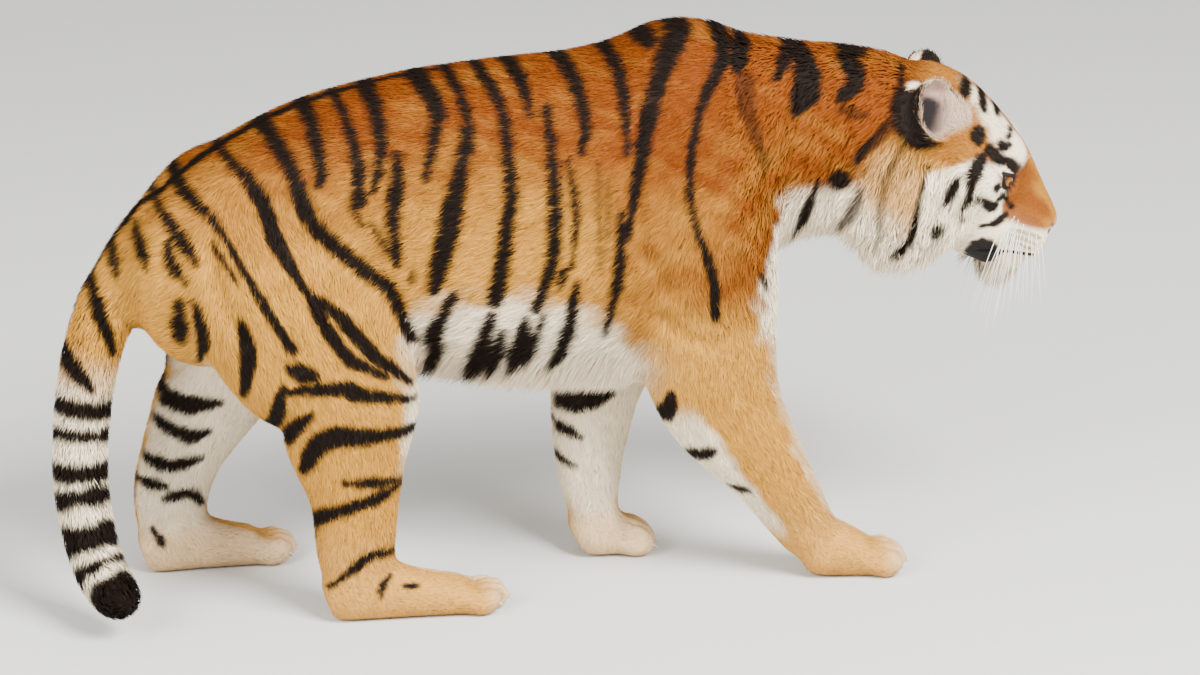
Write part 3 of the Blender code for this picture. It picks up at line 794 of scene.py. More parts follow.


# ---- Markings, with painted shade between the toes, in the ears and at the mouth ----
# A stripe is its full width along its run, and the places it runs through: centimetres along X and Z,
# as it lies on the right side. The left side has the same ones, moved with its legs and a little wavier.
STRIPES = [
    ((1.6,), (-77, 69), (-76, 60)),
    ((1.6,), (-72.5, 69), (-71.5, 63)),
    ((2.0,), (-80, 60), (-79, 54), (-77, 47)),
    ((2.5,), (-85.5, 49), (-84, 45), (-81, 41)),
    ((1.8,), (-68, 67.5), (-67.5, 64.5), (-65.5, 61)),
    ((2.0,), (-69, 73), (-67.2, 70.5), (-65, 67), (-63.3, 64.5)),
    ((2.2,), (-66.5, 58), (-66.5, 53), (-66, 50)),
    ((1.6,), (-64, 58), (-62.7, 52), (-63, 46.5)),
    ((0.7,), (-60.8, 68), (-57, 62)),
    ((2.2, 0.8, 1.6), (-66.5, 77), (-60, 71), (-54.5, 61.5), (-48.5, 50.5)),
    ((2.2,), (-59, 82), (-53, 76), (-49.5, 67), (-45.5, 60)),
    ((2.0,), (-45.5, 60), (-41, 56.5), (-37.5, 52), (-33.5, 47.5), (-28, 42.5)),
    ((1.8,), (-45.5, 59.5), (-44, 56.5), (-39.8, 49.5), (-36, 46.5), (-32.5, 44.5)),
    ((2.4, 2.2, 1.6), (-52, 87), (-47.5, 80), (-44.5, 71.5), (-38.5, 65), (-32, 59), (-30, 55), (-27.5, 49)),
    ((2.6, 2.2, 1.0), (-45.5, 90), (-43.5, 87), (-42.5, 80), (-43, 77)),
    ((1.0, 1.6, 2.2), (-40, 91), (-38, 88), (-36.5, 81), (-36.5, 74.5)),
    ((2.8, 2.0, 1.0), (-33.5, 92.5), (-32.2, 84), (-34, 76)),
    ((1.2, 2.6, 1.2), (-29.8, 81.5), (-30, 77), (-31, 71.5), (-30.3, 63)),
    ((0.8,), (-28, 62), (-28, 59)),
    ((0.8,), (-35, 71), (-32.8, 67), (-31, 63.5)),
    ((0.8,), (-38, 73.5), (-36, 70)),
    ((3.0, 2.4, 1.0), (-25.5, 93.5), (-22.6, 88.5), (-23, 85.5), (-25.3, 77.5)),
    ((1.8, 1.4, 0.8), (-20, 94), (-18, 88.5), (-17.5, 83.5), (-18, 81)),
    ((1.5, 3.4, 2.0), (-18.3, 84.5), (-20, 76), (-21.5, 70.5), (-23.5, 62), (-24.2, 58.5)),
    ((2.8,), (-21, 57), (-24, 50), (-23.5, 46), (-24.5, 38.5)),
    ((1.6, 1.8, 2.6), (-15, 94), (-12, 88.5), (-11.6, 81.5), (-11.3, 74.5), (-12.5, 66.5), (-14, 56)),
    ((3.0,), (-14.7, 53), (-16.5, 43), (-17.5, 38)),
    ((2.2,), (-12.6, 50), (-13.6, 43), (-14.5, 39)),
    ((2.6, 2.0, 1.0), (-9.5, 95), (-7.9, 91.5), (-7.3, 87)),
    ((1.2, 2.2, 1.6), (-4.3, 87.5), (-4.2, 78.5), (-4.2, 70), (-4.8, 62), (-7.3, 54)),
    ((2.8,), (-8.8, 52), (-9.5, 46), (-11, 40)),
    ((1.6,), (-6.0, 53), (-7.4, 46), (-8.5, 41.5)),
    ((2.6, 2.0, 1.2), (-0.7, 95), (1, 91), (1.8, 85.5), (0.8, 81)),
    ((1.1,), (-1.5, 79.5), (-0.5, 71.5), (-1.3, 61.5)),
    ((1.2,), (-2.5, 61), (-3.6, 57.5)),
    ((2.2,), (-0.3, 58.5), (-2.2, 46), (-4, 41)),
    ((2.4, 1.8, 0.8), (6.5, 97), (8.3, 93), (8.6, 86.5), (8.5, 80.3)),
    ((3.4,), (13.2, 97.8), (13.9, 97.2)),
    ((3.0, 2.2, 0.8), (20.5, 99), (15.3, 92.5), (11.8, 83), (9.3, 71.6), (8.3, 66)),
    ((1.8,), (7, 70), (6.8, 62.5), (6.3, 57), (4.8, 48)),
    (
        (3.2, 1.4, 1.0, 1.4),
        (27, 98.5), (26.3, 93.8), (21.5, 86.3), (19.2, 75.5), (20, 67.6), (22.8, 58.8), (23.5, 51.2),
    ),
    ((3.0,), (31, 96.5), (28.7, 91.5)),
    ((2.0,), (40, 95), (37.8, 92.3), (35.5, 89.5)),
    ((4.0,), (41, 94), (41, 88), (38.5, 84)),
    ((3.0,), (54.5, 93), (49, 91.8), (49.8, 89.4), (49, 87.6), (46.3, 85.5)),
    ((1.8,), (58.5, 89), (56.5, 84), (55.5, 81), (50.5, 76.5), (49.2, 74.5)),
    ((3.2,), (46, 71.8), (46.8, 71.2)),
    ((1.6,), (42.3, 71.5), (41, 65.5), (39.5, 60)),
    ((1.6,), (50.3, 69), (49, 64.5), (47.5, 61)),
    ((1.6,), (61.5, 73.5), (60, 67), (56.5, 57)),
    ((2.2,), (16.6, 37), (16, 33), (15, 31.5)),
    ((2.2,), (24.2, 26), (22, 25), (20, 25)),
    ((1.0,), (27.5, 18.5), (31, 17.5)),
    ((0.8,), (31.5, 58), (33, 54.5)),
    ((2.4,), (-49, 43), (-41, 43.5), (-37, 42), (-27.5, 39.5)),
    ((2.6,), (-49, 47.5), (-44.5, 45.5)),
    ((2.2,), (-50, 44), (-51, 38), (-52.5, 33.5)),
    ((2.0,), (-45.3, 39), (-48, 36), (-49.5, 32.5)),
    ((3.2,), (-27.5, 34), (-37.5, 34.3), (-42, 34.5), (-45, 32), (-46.5, 28)),
    ((1.6,), (-40, 26), (-30, 25)),
    ((2.0,), (-30, 24), (-35, 22.5), (-44.5, 19), (-45.5, 13)),
    ((1.4,), (-30.5, 12), (-35, 12.5), (-38.5, 10.5), (-43, 6.5)),
    ((1.0,), (-32.5, 8.4), (-34, 6.8), (-34.2, 4.8)),
    ((0.8,), (-30, 6.6), (-27.6, 6.2)),
    ((2.0,), (-56.5, 55), (-55.5, 50), (-56.3, 42)),
]
FAINT_STRIPES = [
    ((0.6,), (3.5, 79), (3.3, 70), (3.6, 60)),
    ((0.6,), (5, 76), (4.6, 64)),
    ((3.0, 2.4, 1.2), (30, 89.5), (30, 85.5), (33, 75.5)),
    ((1.6,), (46.5, 84), (51, 82.5)),
    ((1.0,), (54.5, 72.5), (54, 66), (53.5, 57.5)),
]
INNER_STRIPES = [
    ((3.6,), (-3, 31), (3, 29.5), (10, 30.5)),
    ((1.7,), (-2, 25.5), (4.5, 23)),
    ((1.3,), (-1.5, 19.5), (3.5, 17.5)),
    ((3.0,), (-71, 36), (-65, 32), (-58, 32)),
    ((2.2,), (-70, 29.5), (-64, 26), (-60, 26.5)),
    ((2.0,), (-72, 22.5), (-67, 20.5), (-61, 21.5)),
    ((1.8,), (-72, 17.5), (-67.5, 16.5)),
    ((1.8,), (-68, 14.5), (-63.5, 15), (-61, 12.5)),
    ((1.2,), (-70, 9), (-68, 5.5)),
]
# The same in the head's frame, on both sides.
HEAD_STRIPES = [
    ((2.0,), (-3.9, 9.7), (-3.5, 9.7)),
    ((1.2,), (-1, 10.7), (1.2, 8.4)),
    ((1.3,), (2.9, 10.3), (4, 8.8)),
    ((0.9,), (7, 7.8), (7, 6.8)),
    ((1.2,), (5.8, 5.5), (7, 5.2), (7.8, 6)),
    ((2.2,), (1.2, 5.3), (2.6, 4)),
    ((1.2, 1.4, 1.5, 0.8), (4.7, 3.8), (6.1, 3.35), (7.4, 3.06), (9.15, 3.5), (11.2, 3.1), (11.8, 2.9)),
    ((2.1, 2.3, 1.4, 1.0), (4.4, 1.4), (4.6, -0.5), (4.8, -2), (5.6, -3.7), (6.5, -5.3)),
    ((0.8, 0.9, 1.6), (6.6, -5.4), (8.3, -4.5), (11.1, -4.6)),
    ((0.8,), (6.5, -5.5), (6.4, -7.4)),
    ((0.7, 1.7, 0.9), (2.8, -3.3), (3.0, -4.9), (3.3, -6.9), (3.0, -8.2)),
    ((0.7,), (11.3, -2.7), (12.5, -2.3), (13.9, -3)),
    ((0.6,), (14.6, -3.1), (14.9, -3.3)),
    ((1.0,), (9.3, -1.0), (10.3, -1.5)),
    ((0.9,), (11.4, -8.4), (12.9, -7.2), (13.8, -5.8), (14.6, -4.5)),
    ((0.9,), (7.2, -8.8), (7.6, -9.0)),
    ((2.0,), (4.65, -12), (5.4, -14.1)),
    ((0.3, 0.7, 1.6), (-3, -4.2), (-2, -7.3), (-0.7, -10.8), (0.9, -14.5), (1.7, -17.9), (1.4, -20.6)),
]
FAINT_HEAD_STRIPES = [
    ((1.0,), (-8.9, -3.3), (-8.3, -8.75), (-7, -12.4), (-4.1, -17.3), (-1.6, -22)),
    ((1.4,), (-11.2, -13.1), (-8.6, -19.8)),
    ((0.5,), (16.8, -6.3), (20, -5.5), (22.3, -5.2)),
    ((0.5,), (17.0, -7.3), (20, -6.6), (22.3, -6.4)),
    ((0.4,), (17.5, -8.3), (20, -7.8), (22.0, -7.5)),
]
TAIL_RINGS = [
    (0.312, 0.036), (0.360, 0.026), (0.424, 0.040), (0.470, 0.032), (0.543, 0.056), (0.606, 0.038),
]
TAIL_TIP = 0.645
STRIPE_EDGE = 0.30
STRIPE_WAVE = 0.17
STRIPE_SWELL = 0.16
STRIPE_HALF = 0.60
FAINT = 0.62


def curve_through(places, steps=7):
    """An even curve through places."""
    p = np.array(places, float)
    p = np.vstack([2 * p[0] - p[1], p, 2 * p[-1] - p[-2]])
    t = np.linspace(0, 1, steps, endpoint=False)[:, None]
    spans = [
        0.5 * (2 * b + (c - a) * t + (2 * a - 5 * b + 4 * c - d) * t ** 2 + (3 * b - a - 3 * c + d) * t ** 3)
        for a, b, c, d in zip(p, p[1:], p[2:], p[3:])
    ]
    return np.vstack([*spans, p[-2:-1]])


def ink(places, stripes):
    """How far inside the nearest stripe each place lies, in centimetres."""
    found = np.full(len(places), -3.0)
    for widths, *run in stripes:
        path = curve_through(run)
        if len(widths) == 1:
            widths = (0.5 * widths[0], widths[0], widths[0], 0.4 * widths[0])
        half = np.interp(np.linspace(0, 1, len(path)), np.linspace(0, 1, len(widths)), widths) * STRIPE_HALF
        near = np.flatnonzero(((places > path.min(0) - 3) & (places < path.max(0) + 3)).all(1))
        p = places[near]
        best = found[near]
        for a, b, wide, next_wide in zip(path, path[1:], half, half[1:]):
            span = b - a
            share = np.clip((p - a) @ span / (span @ span), 0.0, 1.0)
            off = np.linalg.norm(p - a - share[:, None] * span, axis=1)
            best = np.maximum(best, wide + (next_wide - wide) * share - off)
        found[near] = best
    return found


def painted(places, points, stripes):
    """One inside the stripes and nought outside, with a wavy edge."""
    wave = STRIPE_WAVE * (ripple(points, 0.03, 5) + 0.7 * ripple(points, 0.011, 6))
    return smooth(-STRIPE_EDGE, STRIPE_EDGE, ink(places, stripes) + STRIPE_SWELL + wave)


def leg_axis(name, heights, column):
    """Where a leg's axis lies at each height."""
    rows = np.array(LIMBS[name])
    rows = rows[np.argsort(rows[:, 2])]
    return np.interp(heights, rows[:, 2], rows[:, column])


def sway_of(leg, heights):
    """How far ahead of the left leg the right one's axis lies at each height."""
    return leg_axis(leg + "_right", heights, 0) - leg_axis(leg + "_left", heights, 0)


def side_places(points, shares):
    """Where each point lies on the right side's pattern, in centimetres along X and Z."""
    x, y, z = points.T
    shift = np.zeros(len(x))
    for leg in ("foreleg", "hindleg"):
        shift += shares[leg + "_left"] * sway_of(leg, z) * smooth(0.64, 0.40, z)
    off_spine = smooth(0.0, 0.08, y)
    wander = off_spine[:, None] * np.stack([ripple(points, 0.25, 11), ripple(points, 0.25, 12)], 1)
    return 100.0 * np.stack([x + shift, z], 1) + 1.6 * wander


def outwards(points, shares):
    """How far each point lies to a leg's outer side, and to its front, over the leg's radius."""
    out = np.zeros(len(points))
    front = np.zeros(len(points))
    for name, share in shares.items():
        if "leg" in name:
            z = points[:, 2]
            side = -1.0 if name.endswith("right") else 1.0
            radius = leg_axis(name, z, 3)
            out += share * side * (points[:, 1] - leg_axis(name, z, 1)) / radius
            front += share * (points[:, 0] - leg_axis(name, z, 0)) / radius
    return out, front


# Lines on the head in its frame in centimetres, and on the body in metres: heights or places along X.
CHEEK_TOP = (
    [-4, -2, 0, 2, 4, 8, 12.5, 14, 18, 22, 24],
    [-7, -5, -3.2, -0.5, 2.0, 1.5, -2.6, -5.6, -5.0, -3.9, -3.3],
)
BROW_EDGE = ([-5, -3.5, 3.0, 6.0, 12.0], [10.6, 9.8, 6.3, 4.2, 3.4])
BELLY_EDGE = (
    [-0.50, -0.34, -0.28, -0.20, -0.10, 0.0, 0.06, 0.10, 0.30],
    [0.40, 0.42, 0.540, 0.550, 0.556, 0.532, 0.49, 0.44, 0.41],
)
CHEST_EDGE = ([0.30, 0.45, 0.52, 0.60, 0.70], [0.34, 0.325, 0.31, 0.33, 0.37])
THROAT_EDGE = ([0.34, 0.40, 0.50, 0.60], [0.72, 0.70, 0.66, 0.62])
SPINE_HALF = ([-0.80, -0.74, -0.60, -0.40, -0.25, -0.15], [0.008, 0.018, 0.020, 0.013, 0.010, 0.0])
SPINE_UNDER = ([-0.80, -0.70, -0.60, -0.40, -0.10], [0.50, 0.60, 0.72, 0.80, 0.85])


def head_pale(local):
    """How white the head is at each place in the head's frame."""
    x, y, z = 100.0 * local.T
    y = np.abs(y)
    ruff_line = -3.0 - 0.32 * (z + 4.2)
    cheek = smooth(-0.8, 1.0, x - ruff_line) * smooth(0.8, -0.8, z - np.interp(x, *CHEEK_TOP))
    brow = smooth(-1.3, 1.1, z + 0.35 * ripple(local, 0.03, 41) - np.interp(x, *BROW_EDGE))
    middle = 0.15 + 0.85 * smooth(1.2, 2.9, y + 0.3 * ripple(local, 0.02, 42))
    brow = brow * smooth(-6.5, -3.5, x) * smooth(13.0, 11.0, x) * middle
    over_eye = 0.9 * smooth(6.0, 7.6, x) * smooth(12.0, 11.0, x)
    over_eye = over_eye * smooth(0.5, 1.3, z) * smooth(3.4, 2.6, z) * smooth(4.0, 5.0, y)
    under_eye = smooth(6.0, 7.0, x) * smooth(13.4, 12.4, x) * smooth(-0.6, -1.6, z) * smooth(-6.0, -4.0, z)
    chin = smooth(-5.4, -6.6, z) * smooth(9.0, 12.0, x)
    side = 0.12 + 0.88 * smooth(-12, -20, z)
    back = side * smooth(-2.0, -8.0, z) * smooth(-18, -11, x)
    return np.maximum.reduce([cheek, brow, over_eye, under_eye, chin, back])


def body_pale(points, soft, out, front, legs, fore, hind):
    """How white the body and legs are at each point."""
    x, _, z = points.T
    belly = smooth(0.034, -0.026, z + 1.4 * soft - np.interp(x, *BELLY_EDGE)) * (1.0 - legs)
    inner = legs * smooth(0.05, -0.45, out + 8 * soft) * smooth(0.62, 0.52, z)
    inner = inner * (1.0 - 0.55 * smooth(0.13, 0.05, z))
    rear = fore * smooth(-0.60, -0.92, front + 8 * soft) * smooth(0.36, 0.30, z) * smooth(0.06, 0.13, z)
    lead = fore * 0.45 * smooth(0.72, 1.05, front + 8 * soft) * smooth(0.52, 0.44, z) * smooth(0.06, 0.16, z)
    knee = hind * smooth(0.84, 1.08, front + 8 * soft) * smooth(0.50, 0.44, z) * smooth(0.24, 0.32, z)
    foot = legs * (0.04 + 0.38 * on_toes(points)) * smooth(0.20, 0.10, z)
    chest = smooth(-0.012, 0.02, x + soft - np.interp(z, *CHEST_EDGE)) * smooth(0.72, 0.68, z)
    chest = chest * (1.0 - legs * smooth(0.46, 0.42, z))
    throat = smooth(0.02, -0.02, z + soft - np.interp(x, *THROAT_EDGE)) * smooth(0.36, 0.40, x)
    return np.maximum.reduce([belly, inner, rear, lead, knee, foot, chest, throat * (1.0 - legs)])


def spine_stripe(points, soft):
    """One on the dark line along the spine of the hips and loin."""
    x, y, z = points.T
    inside = smooth(-0.006, 0.006, np.interp(x, *SPINE_HALF) - np.abs(y) + 0.4 * soft)
    return inside * smooth(0.0, 0.02, z - np.interp(x, *SPINE_UNDER)) * (x < -0.14)


def tail_rings(down_tail, soft):
    """One on the tail's rings and tip."""
    rings = smooth(-0.006, 0.006, down_tail + 0.4 * soft - TAIL_TIP)
    for place, wide in TAIL_RINGS:
        off = np.abs(down_tail + 0.4 * soft - place) - wide / 2
        rings = np.maximum(rings, smooth(0.004, -0.004, off))
    return rings


def body_dark(points, soft, shares, out, down_tail, legs):
    """How dark the body, legs and tail are at each point, with painted shade in the grooves between the
    toes.
    """
    z = points[:, 2]
    across = side_places(points, shares)
    dark = painted(across, points, STRIPES)
    dark = np.maximum(dark, FAINT * painted(across, points, FAINT_STRIPES))
    dark = np.maximum(dark, spine_stripe(points, soft))
    inside = smooth(0.1, -0.3, out) * smooth(0.45, 0.38, z) * legs
    sway = shares["foreleg_right"] * sway_of("foreleg", z) + shares["hindleg_right"] * sway_of("hindleg", z)
    inner_places = 100.0 * np.stack([points[:, 0] - sway, z], 1)
    dark = dark * (1.0 - inside) + inside * painted(inner_places, points, INNER_STRIPES)
    # Painted shade in the grooves between the toes.
    dark = np.maximum(dark, 0.30 * between_toes(points))
    dark = dark * (1 - smooth(0.28, 0.34, down_tail) * shares["tail"])
    return np.maximum(dark, tail_rings(down_tail, soft) * smooth(0.4, 0.7, shares["tail"]))


def head_dark(points, local):
    """How dark the head is at each point, without its ears."""
    face = 100.0 * local[:, [0, 2]]
    stripes = painted(face, points, HEAD_STRIPES)
    faint = FAINT * painted(face, points, FAINT_HEAD_STRIPES)
    # The mouth's corner patch is black lip skin with painted shade of a slightly open mouth.
    return np.maximum.reduce([stripes, faint, lip_and_mouth_shade_patch(local)])


def ear_marks_and_shade(points, local, pale, dark):
    """The marks with the ears' own over them: black backs with a white spot, grey hair inside, and painted
    shade that darkens the hollow deep in the cup.
    """
    ears = ear_share(points)
    behind = ear_back(points)
    placed = ear_place(points)
    outer = placed[:, 1] * np.where(local[:, 1] < 0, -1.0, 1.0)
    spot = smooth(0.33, 0.23, np.hypot(placed[:, 1] - 0.05, placed[:, 2] - 0.68))
    dark = dark * (1 - ears) + ears * behind * (1 - spot)
    nape = smooth(1.80, 1.60, np.linalg.norm(placed * [1, 1, 1.25], axis=1))
    nape = nape * smooth(-0.10, -0.30, placed[:, 0]) * (1 - ears * np.maximum(spot, 1 - behind))
    dark = np.maximum(dark, nape * smooth(0.0, 0.35, outer) * smooth(-1.15, -0.90, placed[:, 2]))
    # Painted shade: the hollow deep in the ear's cup is painted darker.
    hollow = smooth(0.80, 0.45, np.hypot(placed[:, 1] + 0.15, placed[:, 2] + 0.10))
    hollow = hollow * smooth(-0.10, -0.35, placed[:, 0])
    dark = np.maximum(dark, ears * (1 - behind) * (0.26 + 0.70 * hollow))
    pale = pale * (1 - ears) + ears * np.maximum(spot * behind, 0.62 * (1 - behind))
    return pale, dark


def lightness(points, local, soft, legs, fore, head):
    """How light a tawny the coat is at each point: deep orange on the back and shoulders."""
    x, _, z = points.T
    ahead = smooth(0.30, 0.16, x)
    shoulder = 1.0 - 0.62 * smooth(-0.01, 0.11, x)
    light = shoulder * smooth(0.88, 0.60, z) * ahead
    light = light + (0.45 + 0.55 * fore) * legs * smooth(0.58, 0.44, z)
    light = light + 0.20 * (1 - ahead) * smooth(0.86, 0.60, z)
    light = light + 12 * soft + 0.14 * ripple(points, 0.16, 22)
    middle = smooth(0.046, 0.012, np.abs(local[:, 1]) + soft)
    bridge = (0.08 + 0.52 * middle) * smooth(0.08, 0.13, local[:, 0])
    cheek = 0.8 * smooth(0.02, -0.06, local[:, 2]) * smooth(0.12, 0.08, local[:, 0])
    crown = 0.35 * smooth(0.09, 0.02, local[:, 0])
    return light * (1 - head) + head * np.maximum.reduce([crown, cheek, bridge])


def markings_and_shade(points):
    """The coat's pattern at each point, with painted shade between the toes, in the ears' hollows and at the
    mouth's corners: how pale, how dark and how light a tawny it is.
    """
    shares, places = limb_shares(points)
    local = head_place(points)
    head = head_share(points)
    soft = 0.010 * ripple(points, 0.05, 21)
    out, front = outwards(points, shares)
    legs, fore, hind = (limb_sum(shares, part) for part in ("leg", "fore", "hind"))
    length = np.array(LIMBS["tail"])[:, :3]
    run = np.concatenate([[0], np.cumsum(np.linalg.norm(np.diff(length, axis=0), axis=1))])
    down_tail = np.interp(places["tail"][1] * (len(run) - 1), np.arange(len(run)), run)

    tail = shares["tail"] * smooth(0.20, 0.30, down_tail) * (0.62 + 0.3 * smooth(0.42, 0.56, down_tail))
    pale = np.maximum(body_pale(points, soft, out, front, legs, fore, hind), tail)
    pale = pale * (1 - head) + head_pale(local) * head
    dark = body_dark(points, soft, shares, out, down_tail, legs)
    dark = dark * (1 - head) + head_dark(points, local) * head
    pale, dark = ear_marks_and_shade(points, local, pale, dark)
    light = lightness(points, local, soft, legs, fore, head)
    return np.clip(np.stack([pale, dark, light], 1), 0, 1)


# ---- Materials ----
SKIN_ROUGH = 0.75
WET_NOSE = -0.35
GRAIN_SCALE = 420.0
GRAIN_DETAIL = 3.0
GRAIN_STRENGTH = 0.35
GRAIN_DEEP = 0.0012


def new_group(name, inputs, outputs):
    """A node group's tree, with its input and output nodes. Inputs are (name, kind, default)."""
    tree = bpy.data.node_groups.new(name, "ShaderNodeTree")
    for title, kind, default in inputs:
        socket = tree.interface.new_socket(title, in_out="INPUT", socket_type=kind)
        socket.default_value = default
    for title, kind in outputs:
        tree.interface.new_socket(title, in_out="OUTPUT", socket_type=kind)
    return tree, tree.nodes.new("NodeGroupInput"), tree.nodes.new("NodeGroupOutput")


def attribute(tree, name):
    """A node that reads one of the mesh's attributes."""
    node = tree.nodes.new("ShaderNodeAttribute")
    node.attribute_name = name
    return node


def feed(tree, socket, value):
    """Links a socket to another one, or sets its value."""
    if isinstance(value, bpy.types.NodeSocket):
        tree.links.new(value, socket)
    else:
        socket.default_value = value


def blend(tree, share, a, b):
    """A mix of two colours; each of share, a and b is a socket or a value."""
    node = tree.nodes.new("ShaderNodeMix")
    node.data_type = "RGBA"
    for key, value in (("Factor_Float", share), ("A_Color", a), ("B_Color", b)):
        feed(tree, next(s for s in node.inputs if s.identifier == key), value)
    return next(s for s in node.outputs if s.identifier == "Result_Color")


def math_node(tree, operation, a, b):
    """The result of a sum or product of two sockets or values."""
    node = tree.nodes.new("ShaderNodeMath")
    node.operation = operation
    for socket, value in zip(node.inputs, (a, b)):
        feed(tree, socket, value)
    return node.outputs[0]


def paint(colour):
    """A colour as seen, from 0 to 255, as Blender's linear RGBA."""
    shares = [c / 255 for c in colour]
    return (*[c / 12.92 if c <= 0.04045 else ((c + 0.055) / 1.055) ** 2.4 for c in shares], 1.0)


def coat_group(settings):
    """The coat's colour from its markings and painted shade: one group for the skin and every tuft."""
    name = "Coat colour"
    if name in bpy.data.node_groups:
        return bpy.data.node_groups[name]
    tree, start, end = new_group(name, [
        ("Deep", "NodeSocketColor", (*settings.deep, 1.0)),
        ("Tawny", "NodeSocketColor", (*settings.tawny, 1.0)),
        ("Pale", "NodeSocketColor", (*settings.pale, 1.0)),
        ("Dark", "NodeSocketColor", (*settings.dark, 1.0)),
    ], [("Colour", "NodeSocketColor")])
    marks_and_shade = tree.nodes.new("ShaderNodeSeparateColor")
    tree.links.new(attribute(tree, "marks_and_shade").outputs["Color"], marks_and_shade.inputs[0])
    base = blend(tree, marks_and_shade.outputs["Blue"], start.outputs["Deep"], start.outputs["Tawny"])
    base = blend(tree, marks_and_shade.outputs["Red"], base, start.outputs["Pale"])
    base = blend(tree, marks_and_shade.outputs["Green"], base, start.outputs["Dark"])
    # The tone attribute darkens the colour: each tuft's random tone with painted shade at its root, and
    # painted shade on the skin under the coat.
    tone_and_shade = tree.nodes.new("ShaderNodeHueSaturation")
    tree.links.new(base, tone_and_shade.inputs["Color"])
    tree.links.new(attribute(tree, "tone_and_shade").outputs["Fac"], tone_and_shade.inputs["Value"])
    tree.links.new(tone_and_shade.outputs[0], end.inputs["Colour"])
    return tree


def principled(name, colour=None, **values):
    """A new material and its Principled BSDF; values are socket names with _ for a space."""
    material = bpy.data.materials.new(name)
    material.use_nodes = True
    shader = material.node_tree.nodes["Principled BSDF"]
    if colour is not None:
        shader.inputs["Base Color"].default_value = colour
    for key, value in values.items():
        shader.inputs[key.replace("_", " ")].default_value = value
    return material, shader


def coat_colour(tree, settings):
    """A socket that gives the coat's colour."""
    node = tree.nodes.new("ShaderNodeGroup")
    node.node_tree = coat_group(settings)
    return node.outputs["Colour"]


def coat_material(settings):
    """The tufts' one material: matt hair in the coat's colours."""
    name = "Tiger coat"
    if name in bpy.data.materials:
        return bpy.data.materials[name]
    material, shader = principled(name, Roughness=0.65, Specular_IOR_Level=0.08)
    tree = material.node_tree
    tree.links.new(coat_colour(tree, settings), shader.inputs["Base Color"])
    return material


def skin_material(settings):
    """The coat's colours, darkened by painted shade under the coat, with bare nose and ear skin, black lids
    and lips.
    """
    material, shader = principled("Tiger skin", Specular_IOR_Level=0.18)
    tree = material.node_tree
    colour = coat_colour(tree, settings)
    bare = tree.nodes.new("ShaderNodeSeparateColor")
    tree.links.new(attribute(tree, "bare").outputs["Color"], bare.inputs[0])
    mixed = blend(tree, bare.outputs["Red"], colour, (*settings.nose, 1.0))
    mixed = blend(tree, bare.outputs["Blue"], mixed, (*settings.ear, 1.0))
    mixed = blend(tree, bare.outputs["Green"], mixed, (*settings.rim, 1.0))
    tree.links.new(mixed, shader.inputs["Base Color"])
    wet = math_node(tree, "MULTIPLY", bare.outputs["Red"], WET_NOSE)
    rough = math_node(tree, "ADD", wet, SKIN_ROUGH)
    tree.links.new(rough, shader.inputs["Roughness"])
    grain = tree.nodes.new("ShaderNodeTexNoise")
    grain.inputs["Scale"].default_value = GRAIN_SCALE
    grain.inputs["Detail"].default_value = GRAIN_DETAIL
    where = tree.nodes.new("ShaderNodeTexCoord")
    tree.links.new(where.outputs["Object"], grain.inputs["Vector"])
    bump = tree.nodes.new("ShaderNodeBump")
    bump.inputs["Strength"].default_value = GRAIN_STRENGTH
    bump.inputs["Distance"].default_value = GRAIN_DEEP
    tree.links.new(grain.outputs["Fac"], bump.inputs["Height"])
    tree.links.new(bump.outputs["Normal"], shader.inputs["Normal"])
    return material


# ---- Stage ----
FLOOR_SIZE = 60.0
TARGET = (0.0723, -0.0009, 0.427)
VIEW_AZIMUTH = -11.0
VIEW_HEIGHT = 19.0
VIEW_DISTANCE = 7.5
VIEW_LENS = 130.5
KEY_PLACE = (2.5, -4.0, 5.0)
FILL_PLACE = (-4.0, -3.0, 3.0)
FILL_SHARE = 0.30
LIGHT_SIZE = 3.0
SKY_COLOUR = (1.0, 0.98, 0.95, 1.0)
SKY_STRENGTH = 0.80


def make_floor(colour):
    """A wide flat floor at the height of the soles."""
    floor = bmesh.new()
    bmesh.ops.create_grid(floor, x_segments=1, y_segments=1, size=FLOOR_SIZE / 2)
    mesh = mesh_from(floor, "Floor")
    item = link(bpy.data.objects.new("Floor", mesh))
    material, _ = principled("Pale floor", (*colour, 1.0), Roughness=0.9, Specular_IOR_Level=0.1)
    mesh.materials.append(material)
    return item


def add_light(name, place, power):
    """A soft square light that faces the tiger."""
    light = bpy.data.lights.new(name, "AREA")
    light.energy = power
    light.size = LIGHT_SIZE
    item = link(bpy.data.objects.new(name, light))
    item.location = place
    item.rotation_euler = (Vector(TARGET) - Vector(place)).to_track_quat("-Z", "Y").to_euler()
    return item


def add_camera():
    """The scene's own camera, which looks at the tiger's right side from a little above."""
    camera = bpy.data.cameras.new("Camera")
    camera.sensor_width = 36.0
    camera.lens = VIEW_LENS
    camera.clip_end = 100.0
    item = link(bpy.data.objects.new("Camera", camera))
    turn, height = math.radians(VIEW_AZIMUTH), math.radians(VIEW_HEIGHT)
    away = Vector((math.sin(turn) * math.cos(height), -math.cos(turn) * math.cos(height), math.sin(height)))
    item.location = Vector(TARGET) + VIEW_DISTANCE * away
    item.rotation_euler = away.to_track_quat("Z", "Y").to_euler()
    bpy.context.scene.camera = item
    return item


# ---- The coat ----
PATCH = 0.0015
ROOT_SINK = 0.0012
LONG_TUFT = 0.026
WANDER = 0.16
CLUMPS = (0.22, 0.16)
TONE_SPREAD = 0.07
# Painted shade: each tuft is darker at its root, where the hairs shade each other, and lighter towards its
# tip.
ROOT_SHADE_TONE = 0.84
TIP_LIGHT_TONE = 0.20
NORMAL_SPREAD = 0.30
NORMAL_LEAN = 0.25
TO_SQUARE_METRES = 1e4
LEG_LIMIT = 0.4
BARE_ROOT = 0.5
BARE_TIP = 0.4
